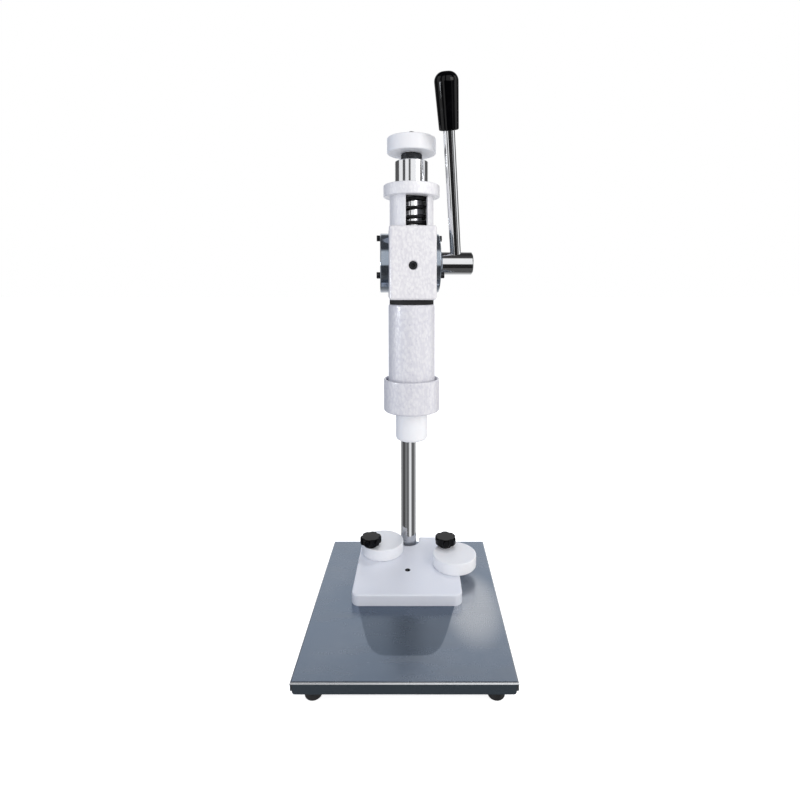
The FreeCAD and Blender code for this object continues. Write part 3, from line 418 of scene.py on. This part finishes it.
def dark_reflection_patch(finish, x, y):
    """1 in the painted dark reflection: a rounded shape that narrows towards the operator."""
    ragged = (finish.noise(9 * MM, detail=2) - 0.5) * 0.08
    ahead = (y - DARK_REFLECTION_PLACE[1]) * -1
    wide = (x - DARK_REFLECTION_PLACE[0]) / (DARK_REFLECTION_HALF_WIDTH - ahead * DARK_REFLECTION_NARROWING)
    reach = wide.size() ** DARK_REFLECTION_SQUARENESS + (ahead * (1 / DARK_REFLECTION_REACH)).size() ** DARK_REFLECTION_SQUARENESS
    return (1 - (reach + ragged).step(0.9, 1.1)) * (1 - y.step(*DARK_REFLECTION_BACK))


def painted_glow_patch(x, y):
    """1 in the middle of the painted glow, fading to 0 round it."""
    aside = (x - PAINTED_GLOW_PLACE[0]) * (1 / PAINTED_GLOW_REACH[0])
    ahead = (y - PAINTED_GLOW_PLACE[1]) * (1 / PAINTED_GLOW_REACH[1])
    return 1 - (aside ** 2 + ahead ** 2).step(0.0, 1.0)


def hairlines(finish, x, y):
    """Short thin scratches: lines on a bent coordinate, kept only here and there."""
    bent = x + finish.noise(50 * MM) * 0.03
    lines = 1 - (bent * 9 + y * 31).wave().size().step(0.0, 0.012)
    return lines * finish.noise(16 * MM).step(0.56, 0.64)


def base_steel():
    finish = Finish("satin_steel_cover", Coat_Roughness=0.1)
    x, y, z = finish.parts(finish.spot)
    grain = finish.noise(0.5 * MM, finish.stretched(finish.spot, (1, 0.03, 1)), 2)
    haze = finish.noise(120 * MM, detail=5, roughness=0.6)
    smear = finish.noise(34 * MM, finish.stretched(finish.spot, (0.5, 1.4, 1)), 4).step(0.45, 0.75)
    speck = finish.noise(2.2 * MM, detail=1).step(0.7, 0.76)
    hairline = hairlines(finish, x, y)
    rise = finish.parts(finish.node("ShaderNodeNewGeometry", {}, {}, "Normal"))[2]
    up = rise.step(0.05, 0.3)
    bend = up * (1 - rise.step(0.8, 0.97))
    dark_reflection = dark_reflection_patch(finish, x, y)
    painted_glow = painted_glow_patch(x, y) * (1 - dark_reflection)
    film = finish.mix(haze.step(0.35, 0.7), *FILM_COLORS)
    film = finish.mix(smear * 0.2 + speck * 0.08 + hairline * 0.1, film, SMEAR_COLOR)
    # Painted reflection: a dark patch on the top in front of the plate.
    top = finish.mix(dark_reflection * 0.62, film, PAINTED_DARK_REFLECTION_COLOR)
    # Painted light: a soft glow on the top at the right of the plate.
    top = finish.mix(painted_glow * 0.6, top, PAINTED_GLOW_COLOR)
    # Painted highlight along the bend between the top and the sides.
    top = finish.mix(bend, top, BEND_HIGHLIGHT_COLOR)
    # Painted shade: the upright folded sides get much darker colours than the top.
    side = finish.mix(grain, *SHADED_SIDE_COLORS)
    return finish.feed(
        Base_Color=finish.mix(up, side, top),
        Metallic=0.45 + up * 0.3,
        Roughness=0.2 + haze * 0.08 + grain * 0.04 + smear * 0.05,
        Normal=finish.relief(grain * 0.35 + hairline * 0.6 + haze, 0.014 * MM),
    )


cover_steel = base_steel()
print("base finish:", cover_steel.name)

# %% [markdown]
# Bright bars.
#
# The column, the lever rod, the hub and the top guide are hard-chromed or ground steel. Dark stripes could be
# painted on them, but they would stay in place when the view moves. A mirror shows the room and not itself,
# so its look comes from the studio further down. What the bar adds is a ground skin: rings far too fine to
# see one by one, which spread each reflection a little along the bar.

# %% Bright bars
TARNISH = 0.82


def bright_bar(name, centre, turn, color=(0.86, 0.87, 0.89), gloss=0.1):
    finish = Finish(name, Metallic=1.0)
    seen = finish.centred(centre, turn)
    rings = finish.noise(0.35 * MM, finish.stretched(seen, (0.05, 0.05, 1)), 2)
    cloud = finish.noise(18 * MM, detail=3)
    mark = finish.noise(5 * MM, finish.stretched(seen, (1, 1, 0.2)), 4).step(0.64, 0.75)
    dull = tuple(TARNISH * c for c in color)
    return finish.feed(
        Base_Color=finish.mix(cloud * 0.35 + mark * 0.4, color, dull),
        Roughness=gloss + rings * 0.06 + cloud * 0.05 + mark * 0.12,
        Normal=finish.relief(rings, 0.004 * MM),
    )


rod_low, rod_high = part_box("lever_rod")
rod_way = Vector((0, rod_low.y - rod_high.y, rod_high.z - rod_low.z)).to_track_quat("Z", "Y").to_euler()
across = shaft_way.to_track_quat("Z", "Y").to_euler()
column_chrome = bright_bar("chrome_column", column_place, (0, 0, 0), (0.6, 0.61, 0.63), 0.06)
guide_chrome = bright_bar("chrome_top_guide", ram_place, (0, 0, 0), gloss=0.04)
hub_chrome = bright_bar("chrome_hub", shaft_place, across, gloss=0.01)
rod_chrome = bright_bar("chrome_rod", middle("lever_rod"), rod_way, gloss=0.02)
ram_steel = bright_bar("ground_ram", ram_place, (0, 0, 0), (0.84, 0.85, 0.87), 0.08)
shaft_steel = bright_bar("ground_pinion_shaft", shaft_place, across, (0.55, 0.56, 0.58), 0.22)
print("bar finishes:", column_chrome.name, hub_chrome.name, rod_chrome.name)

# %% [markdown]
# Dark turned steel.
#
# The bearing flanges at the sides of the casting and the height collar are blued steel, turned on a lathe.
# The flanges' faces carry rings round the lever's shaft. Rings as geometry would cost thousands of faces for
# marks a hundredth of a millimetre deep. The finish measures how far a point lies from the axis instead and
# draws the rings from the distance, with a slow wave under them, because a hand-fed tool leaves uneven rings.

# %% Dark turned steel
def dark_turned(name, centre, turn, dark, light):
    finish = Finish(name, Metallic=0.9)
    x, y, z = finish.parts(finish.centred(centre, turn))
    radius = (x * x + y * y) ** 0.5
    fine = (radius * grooves(0.8 * MM) + finish.noise(8 * MM) * 2).wave()
    slow = (radius * grooves(9 * MM)).wave()
    oil = finish.noise(11 * MM, detail=4).step(0.4, 0.7)
    scratch = finish.noise(1.6 * MM, finish.stretched(finish.spot, (1, 0.2, 1)), 3).step(0.66, 0.74)
    return finish.feed(
        Base_Color=finish.mix(oil * 0.5 + scratch * 0.4, dark, light),
        Roughness=0.1 + oil * 0.1 + slow * 0.03 + scratch * 0.1,
        Normal=finish.relief(fine * 0.5 + slow * 0.3 + scratch * 0.4, 0.02 * MM),
    )


flange_steel = dark_turned("blued_flange", shaft_place, across, (0.32, 0.37, 0.44), (0.5, 0.53, 0.58))
collar_blues = ((0.1, 0.12, 0.15), (0.2, 0.23, 0.28))
collar_steel = dark_turned("blued_height_collar", column_place, (0, 0, 0), *collar_blues)
print("dark finishes:", flange_steel.name, collar_steel.name)

# %% [markdown]
# Plain metals and rubber.
#
# Small parts share simpler finishes that differ in a few numbers: a base colour, a second colour for wear or
# dirt, a grain size and a gloss. Each could be written out in full, but one function says better what they
# share. Each still has its own grain, because a screw with one flat colour looks like a toy.

# %% Small parts
def grained(name, color, painted_glow, size, metallic, gloss, depth):
    finish = Finish(name, Metallic=metallic)
    grain = finish.noise(size, detail=3)
    patch = finish.noise(size * 9, detail=4).step(0.42, 0.7)
    spot = finish.noise(size * 2.5, detail=2).step(0.64, 0.74)
    return finish.feed(
        Base_Color=finish.mix(patch * 0.45 + spot * 0.45, color, painted_glow),
        Roughness=gloss + grain * 0.12 + patch * 0.08,
        Normal=finish.relief(grain + spot * 0.5, depth),
    )


zinc = grained(
    "zinc_plate", color=(0.62, 0.63, 0.64), painted_glow=(0.42, 0.43, 0.45),
    size=0.8 * MM, metallic=1.0, gloss=0.26, depth=0.02 * MM,
)
black_oxide = grained(
    "black_oxide", color=(0.03, 0.032, 0.036), painted_glow=(0.1, 0.1, 0.105),
    size=0.6 * MM, metallic=0.85, gloss=0.3, depth=0.02 * MM,
)
brass = grained(
    "turned_brass", color=(0.66, 0.47, 0.19), painted_glow=(0.42, 0.3, 0.14),
    size=0.7 * MM, metallic=1.0, gloss=0.25, depth=0.015 * MM,
)
bronze = grained(
    "oiled_bronze", color=(0.5, 0.31, 0.15), painted_glow=(0.26, 0.17, 0.09),
    size=0.5 * MM, metallic=0.95, gloss=0.35, depth=0.03 * MM,
)
mill_scale = grained(
    "hot_rolled_slab", color=(0.07, 0.075, 0.085), painted_glow=(0.15, 0.12, 0.1),
    size=1.6 * MM, metallic=0.6, gloss=0.5, depth=0.06 * MM,
)
rubber = grained(
    "foot_rubber", color=(0.012, 0.012, 0.013), painted_glow=(0.03, 0.03, 0.03),
    size=0.5 * MM, metallic=0.0, gloss=0.55, depth=0.05 * MM,
)
buffer = grained(
    "buffer_rubber", color=(0.008, 0.008, 0.009), painted_glow=(0.02, 0.02, 0.022),
    size=0.7 * MM, metallic=0.0, gloss=0.6, depth=0.05 * MM,
)
spring_steel = grained(
    "oiled_spring", color=(0.02, 0.021, 0.024), painted_glow=(0.07, 0.065, 0.06),
    size=0.7 * MM, metallic=0.8, gloss=0.24, depth=0.02 * MM,
)
print("small finishes:", zinc.name, black_oxide.name, rubber.name)

# %% [markdown]
# Moulded black plastic.
#
# The lever's grip is polished phenolic, as on most machine handles: deep black with a sharp highlight, a
# faint orange peel and a thin seam where the two halves of the mould met. The star knobs come from a duller
# mould with a fine grain. Both are the same recipe with other numbers. Even black with even gloss would look
# like a hole in the picture, so the gloss varies a little where hands have touched it.

# %% Black plastic
def black_moulding(name, centre, peel, gloss, grain_depth, shine):
    finish = Finish(name, IOR=1.45, Coat_Roughness=0.04, Specular_IOR_Level=shine)
    x, y, z = finish.parts(finish.centred(centre))
    seam = 1 - x.size().step(0.1 * MM, 0.35 * MM)
    grain = finish.noise(0.45 * MM, detail=2)
    waves = finish.noise(peel, detail=2)
    touch = finish.noise(14 * MM, detail=4).step(0.5, 0.72)
    lint = finish.noise(1.5 * MM, detail=1).step(0.72, 0.78)
    return finish.feed(
        Base_Color=finish.mix(touch * 0.3 + lint * 0.5, (0.001, 0.001, 0.0015), (0.004, 0.004, 0.005)),
        Roughness=gloss + touch * 0.12 + lint * 0.1,
        Coat_Weight=0.1 - touch * 0.05,
        Normal=finish.relief(grain * grain_depth + waves + seam * 0.2, 0.015 * MM),
    )


GRIP = {"peel": 6 * MM, "gloss": 0.04, "grain_depth": 0.03, "shine": 0.26}
STAR = {"peel": 3 * MM, "gloss": 0.12, "grain_depth": 0.3, "shine": 0.14}
grip_plastic = black_moulding("phenolic_grip", middle("lever_grip"), **GRIP)
left_star_plastic = black_moulding("left_knob_plastic", middle("left_star_knob"), **STAR)
right_star_plastic = black_moulding("right_knob_plastic", middle("right_star_knob"), **STAR)
print("plastic finishes:", grip_plastic.name, left_star_plastic.name)

# %% [markdown]
# Dress the model.
#
# Every piece of the model keeps its exact shape and only gets its finish. The list below goes from finish to
# pieces, the way a painter sorts the parts on the bench. A piece that nobody listed would keep a plain
# colour, so the cell counts them.

# %% Give each piece its finish
sides = ("left", "right")
corners = ("front_left", "front_right", "rear_left", "rear_right")
wardrobe = {
    cover_steel: ["base_cover"],
    mill_scale: ["base_slab"],
    rubber: [f"foot_{corner}" for corner in corners],
    column_chrome: ["column"],
    plate_nylon: ["locating_plate"],
    left_disc_nylon: ["left_stop_disc"],
    right_disc_nylon: ["right_stop_disc"],
    left_star_plastic: ["left_star_knob"],
    right_star_plastic: ["right_star_knob"],
    brass: [f"{side}_knob_insert" for side in sides],
    collar_steel: ["height_collar"],
    iron_paint: ["press_block"],
    barrel_paint_shaded: ["barrel", "press_ring"],
    collar_paint_lit: ["guide_collar", "spring_tube"],
    buffer: ["buffer_ring"],
    flange_steel: [f"{side}_flange" for side in sides],
    bronze: ["lower_guide_bush", "upper_guide_bush", "left_shaft_bush", "right_shaft_bush", "gib_pad",
             "thrust_washer"],
    black_oxide: ["clamp_screws", "collar_set_screw", "gib_screw", "tie_screws", "left_flange_screws",
                  "right_flange_screws", "hub_set_screw", "lock_ring"],
    zinc: ["foot_screws", "plate_screws", "column_washer", "column_bolt", "left_pivot_stud",
           "right_pivot_stud", "press_stud", "depth_screw", "knob_cap_nut"],
    hub_chrome: ["lever_hub"],
    rod_chrome: ["lever_rod"],
    guide_chrome: ["top_guide"],
    ram_steel: ["rack_ram"],
    shaft_steel: ["pinion_shaft"],
    grip_plastic: ["lever_grip"],
    ram_nylon: ["press_head"],
    knob_nylon: ["stop_knob"],
    spring_steel: ["return_spring"],
}


def dress(piece, finish):
    if not piece.material_slots:
        piece.data.materials.append(finish)
    for place in piece.material_slots:
        place.material = finish


dressed = set()
for finish, nodes in wardrobe.items():
    for node in nodes:
        dress(frame["nodes"][node], finish)
        dressed.add(node)
print("dressed", len(dressed), "of", len(frame["nodes"]), "missing:", sorted(set(frame["nodes"]) - dressed))

# %% [markdown]
# The return spring.
#
# A compression spring climbs slowly at its ends and faster in the middle, so that it stands straight. When
# the ram goes down, the spring shortens towards the casting that it stands on. A curve with a round bevel
# would give the same coil, but a mesh of short rings swept along the helix says exactly where each ring lies.
# It rides with the head, and the cell works out how far it would be pressed with the ram down.

# %% Coil spring
SPRING_TURNS = 5.5
WIRE_RADIUS = 2.1 * MM
WIRE_SIDES = 14
STEPS_PER_TURN = 40
END_FLATNESS = 0.55


def mesh_piece(name, points, faces, finish):
    mesh = bpy.data.meshes.new(name)
    mesh.from_pydata(points, [], faces)
    mesh.validate()
    for face in mesh.polygons:
        face.use_smooth = True
    piece = bpy.data.objects.new(name, mesh)
    bpy.context.scene.collection.objects.link(piece)
    mesh.materials.append(finish)
    return piece


def spring_height(part):
    """How far up the spring a point of the wire lies, from 0 to 1: a slower climb at both ends."""
    return part - math.sin(2 * math.pi * part) / (2 * math.pi) * END_FLATNESS


def coil_spring(low, high):
    centre = (low + high) / 2
    coil_radius = (high.x - low.x) / 2 - WIRE_RADIUS
    climb = high.z - low.z - 2 * WIRE_RADIUS
    count = int(SPRING_TURNS * STEPS_PER_TURN)
    points, faces = [], []
    for step in range(count + 1):
        part = step / count
        turn = 2 * math.pi * SPRING_TURNS * part
        outward = Vector((math.cos(turn), math.sin(turn), 0))
        heart = Vector((centre.x, centre.y, low.z + WIRE_RADIUS + climb * spring_height(part)))
        heart += outward * coil_radius
        for side in range(WIRE_SIDES):
            angle = 2 * math.pi * side / WIRE_SIDES
            rise = Vector((0, 0, WIRE_RADIUS * math.sin(angle)))
            points.append(heart + outward * (WIRE_RADIUS * math.cos(angle)) + rise)
    for step in range(count):
        for side in range(WIRE_SIDES):
            after = (side + 1) % WIRE_SIDES
            a = step * WIRE_SIDES
            b = a + WIRE_SIDES
            faces.append((a + side, a + after, b + after, b + side))
    faces.append(tuple(reversed(range(WIRE_SIDES))))
    faces.append(tuple(range(count * WIRE_SIDES, (count + 1) * WIRE_SIDES)))
    return mesh_piece("coil_spring", points, faces, spring_steel)


spring_low, spring_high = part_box("return_spring")
spring = coil_spring(spring_low, spring_high)
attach(spring, "head")
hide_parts("return_spring")
travel = next(joint for joint in frame["joints"] if joint["name"] == "ram_slide")["range_m"][1]
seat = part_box("press_block")[1].z
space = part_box("top_guide")[0].z - seat
(space - travel) / space
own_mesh(spring)
print("spring:", len(spring.data.polygons), "faces, pressed to", round((space - travel) / space, 3))

# %% [markdown]
# A dark sleeve of painted shade for the fixture hole.
#
# Light runs through nylon and fills a small hole in it, but this one looks black, so a thin dark sleeve
# stands in the hole as painted shade. Dark paint on the wall of the hole would need a mask inside the nylon's
# finish. A short tube that hugs the wall is simpler, and it rides with the base.

# %% Sleeve of painted shade in the hole
SHADE_SLEEVE_RADIUS = 3.97 * MM
SHADE_SLEEVE_WALL = 0.5 * MM
SHADE_SLEEVE_HALF_HEIGHT = 7.4 * MM
SHADE_SLEEVE_SIDES = 48
HOLE_PLACE = (0.0, 39 * MM)
STEEPEST_FLAT = 0.5


def hole_shade_sleeve():
    seat = Vector((*HOLE_PLACE, middle("locating_plate").z))
    inside = SHADE_SLEEVE_RADIUS - SHADE_SLEEVE_WALL
    half = SHADE_SLEEVE_HALF_HEIGHT
    outline = ((SHADE_SLEEVE_RADIUS, -half), (SHADE_SLEEVE_RADIUS, half), (inside, half), (inside, -half))
    points, faces = [], []
    for side in range(SHADE_SLEEVE_SIDES):
        angle = 2 * math.pi * side / SHADE_SLEEVE_SIDES
        for reach, height in outline:
            points.append(seat + Vector((reach * math.cos(angle), reach * math.sin(angle), height)))
        first = side * len(outline)
        second = (side + 1) % SHADE_SLEEVE_SIDES * len(outline)
        for corner in range(len(outline)):
            after = (corner + 1) % len(outline)
            faces.append((first + corner, second + corner, second + after, first + after))
    # Painted shade: a black sleeve stands in for the shade inside the hole.
    shade_sleeve = mesh_piece("hole_shade_sleeve", points, faces, black_oxide)
    for face in shade_sleeve.data.polygons:
        face.use_smooth = abs(face.normal.z) < STEEPEST_FLAT
    return shade_sleeve


shade_sleeve = hole_shade_sleeve()
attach(shade_sleeve, "base")
print("lining faces:", len(shade_sleeve.data.polygons))

# %% [markdown]
# The floor.
#
# The machine stands on a plain white floor against white. A lit floor would need a strong lamp to come out
# this even, and it would fill the undersides with light. This one glows by itself, and it is there for the
# camera alone: it casts no shadow, no mirror shows it, and the machine sees the lower sky through it.

# %% Floor
FLOOR_SIZE = 30
FLOOR_DROP = 0.2 * MM
FLOOR_CORNERS = ((-0.5, -0.5), (0.5, -0.5), (0.5, 0.5), (-0.5, 0.5))
floor_points = [(x * FLOOR_SIZE, y * FLOOR_SIZE, -FLOOR_DROP) for x, y in FLOOR_CORNERS]
floor_finish = Finish("studio_floor", Roughness=0.9, Emission_Strength=0.85)
floor_white = floor_finish.mix(floor_finish.noise(0.5, detail=2), (0.94, 0.94, 0.95), (0.97, 0.97, 0.97))
floor_finish.feed(Base_Color=floor_white, Emission_Color=floor_white)
floor = mesh_piece("floor", floor_points, [(0, 1, 2, 3)], floor_finish.material)
floor.visible_diffuse = False
floor.visible_glossy = False
floor.visible_shadow = False
print("floor:", floor.name)

# %% [markdown]
# The sky.
#
# Chrome needs something dark to reflect, or it looks like white plastic, so a photographer hangs black flags
# round the set. Flags could be planes, but each would also shade the paint. Here they are dark bands in a sky
# that only mirrors see. FLAGS goes round by compass, so an upright bar shows each flag as a thin dark line.
# The other bands go by height, from -1 straight below to 1 straight above, with a list of their own for the
# front, where a dark lower half gives the base its tone. Dull surfaces are lit by a soft sky instead, warmer
# and brighter at the front right, and the camera sees plain white behind the machine.

# %% Sky with dark flags
FLAGS = [
    (-180, 0.95), (-152, 0.95), (-147, 0.1), (-97, 0.1), (-92, 0.95), (-64, 0.95), (-60, 0.08), (-45, 0.08),
    (-41, 0.95), (-20, 0.95), (-17, 0.1), (-7, 0.1), (-4, 1.0), (50, 1.0), (54, 0.08), (74, 0.08),
    (78, 0.95), (102, 0.95), (106, 0.1), (144, 0.1), (150, 0.95), (180, 0.95),
]
ROUND_BANDS = [(-1.0, 0.2), (-0.8, 0.5), (-0.5, 0.95), (0.63, 1.0), (0.72, 0.1), (1.0, 0.08)]
FRONT_BANDS = [
    (-1.0, 0.02), (-0.985, 0.09), (-0.79, 0.09), (-0.74, 0.015), (-0.22, 0.02), (-0.12, 0.95),
    (0.67, 1.0), (0.8, 0.05), (1.0, 0.05),
]
FRONT_ZONE = [(-180, 0.0), (-29, 0.0), (-23, 1.0), (46, 1.0), (52, 0.0), (180, 0.0)]
SOFT_WAY = (0.67, -0.74)
SOFT_SIDES = [(-1.0, (0.46, 0.52, 0.66)), (0.0, (0.86, 0.89, 0.97)), (1.0, (1.34, 1.31, 1.29))]
SOFT_HEIGHTS = [(-1.0, 0.5), (0.0, 1.05), (1.0, 0.5)]
WHITE = (1.0, 1.0, 1.0)

world = bpy.data.worlds.new("studio_sky")
bpy.context.scene.world = world
world.use_nodes = True
world.node_tree.nodes.clear()
sky = Recipe(world.node_tree)
east, north, up = sky.parts(sky.node("ShaderNodeTexCoord", {}, {}, "Generated"))
heading = sky.compass(east, north)
by_height = sky.mix(
    sky.bands(heading, -180, 180, FRONT_ZONE),
    sky.bands(up, -1, 1, ROUND_BANDS),
    sky.bands(up, -1, 1, FRONT_BANDS),
)
mirrored = sky.mix(1.0, sky.bands(heading, -180, 180, FLAGS), by_height, "MULTIPLY")
sideways = sky.bands(east * SOFT_WAY[0] + north * SOFT_WAY[1], -1, 1, SOFT_SIDES)
soft = sky.mix(1.0, sideways, sky.bands(up, -1, 1, SOFT_HEIGHTS), "MULTIPLY")
in_mirror = sky.node("ShaderNodeLightPath", {}, {}, "Is Glossy Ray")
in_camera = sky.node("ShaderNodeLightPath", {}, {}, "Is Camera Ray")
sky_color = sky.mix(in_camera, sky.mix(in_mirror, soft, mirrored), WHITE)
background = sky.node("ShaderNodeBackground", {}, {"Color": sky_color, "Strength": 1.0})
sky.put(sky.tree.nodes.new("ShaderNodeOutputWorld").inputs["Surface"], background)
print("stops in the sky:", len(FLAGS) + len(FRONT_BANDS))

# %% [markdown]
# A paper sleeve round the column.
#
# The column stands close to the white plate and would mirror it, so its lower part would lose its stripes. A
# photographer would hold striped paper near it, just out of the picture. Here a roll of that paper can stand
# right round the column, because the camera doesn't see it. It glows on the inside and is clear from the
# outside, and only mirrors show it. It belongs to the stage and not to the press.

# %% Striped sleeve
SLEEVE_RADIUS = 30 * MM
SLEEVE_HEIGHTS = (50 * MM, 236 * MM)
SLEEVE_SIDES = 72
SLEEVE_STRIPES = [
    (-180, 0.62), (-164, 0.12), (-144, 0.16), (-136, 0.9), (-124, 0.58), (-94, 0.43), (-73, 0.17),
    (-58, 0.07), (-44, 0.14), (-32, 0.32), (-19, 0.27), (-8, 0.13), (3, 0.3), (13, 1.25), (27, 1.27),
    (38, 0.35), (52, 0.11), (67, 0.2), (85, 0.52), (109, 1.1), (136, 0.9), (144, 0.16), (164, 0.12),
    (180, 0.62),
]


def sleeve_paper():
    finish = Finish("sleeve_paper", Roughness=0.9)
    x, y, z = finish.parts(finish.centred((column_place.x, column_place.y, 0)))
    stripes = finish.bands(finish.compass(x, y), -180, 180, SLEEVE_STRIPES)
    outside = finish.node("ShaderNodeNewGeometry", {}, {}, "Backfacing")
    glow = finish.node("ShaderNodeEmission", {}, {"Color": stripes})
    clear = finish.node("ShaderNodeBsdfTransparent", {}, {})
    paper = finish.node("ShaderNodeMixShader", {}, {0: outside, 1: glow, 2: clear})
    finish.put(finish.tree.nodes["Material Output"].inputs["Surface"], paper)
    return finish.material


def paper_sleeve():
    points, faces = [], []
    for side in range(SLEEVE_SIDES):
        angle = 2 * math.pi * side / SLEEVE_SIDES
        x = column_place.x + SLEEVE_RADIUS * math.cos(angle)
        y = column_place.y + SLEEVE_RADIUS * math.sin(angle)
        points.extend((x, y, height) for height in SLEEVE_HEIGHTS)
        after = (side + 1) % SLEEVE_SIDES
        faces.append((2 * side, 2 * side + 1, 2 * after + 1, 2 * after))
    return mesh_piece("paper_sleeve", points, faces, sleeve_paper())


sleeve = paper_sleeve()
sleeve.visible_camera = False
sleeve.visible_diffuse = False
sleeve.visible_shadow = False
sleeve.visible_transmission = False
print("sleeve sides:", SLEEVE_SIDES)

# %% [markdown]
# The lamps.
#
# The sky gives most of the light, and three small lamps add shape. A softbox at the right front brings out
# the relief of the paint. A small card at the left draws a streak on the chrome and the grip, and only
# mirrors see it. A lamp above and behind lifts the top edges, and it is kept out of mirrors. Stronger lamps
# would burn out the white paint.

# %% Lamps
def lamp(name, place, aim, size, power, color):
    data = bpy.data.lights.new(name, "AREA")
    data.shape = "RECTANGLE"
    data.size, data.size_y = size
    data.energy = power
    data.color = color
    light = bpy.data.objects.new(name, data)
    light.location = place
    light.rotation_euler = (Vector(aim) - Vector(place)).to_track_quat("-Z", "Y").to_euler()
    bpy.context.scene.collection.objects.link(light)
    return light


right_softbox = lamp(
    "right_softbox", place=(0.9, -0.8, 1.0), aim=(0, 0.03, 0.4),
    size=(0.6, 0.6), power=3, color=(1.0, 0.98, 0.96),
)
left_card = lamp(
    "left_card", place=(-1.1, -0.5, 0.445), aim=(0, 0.03, 0.6),
    size=(0.3, 0.17), power=3.2, color=(0.9, 0.94, 1.0),
)
top_back = lamp(
    "top_back", place=(0.08, 0.62, 1.5), aim=(0, 0, 0.1),
    size=(0.2, 0.2), power=3.5, color=WHITE,
)
left_card.visible_diffuse = False
top_back.visible_glossy = False
print("lamps:", [light.name for light in (right_softbox, left_card, top_back)])

# %% [markdown]
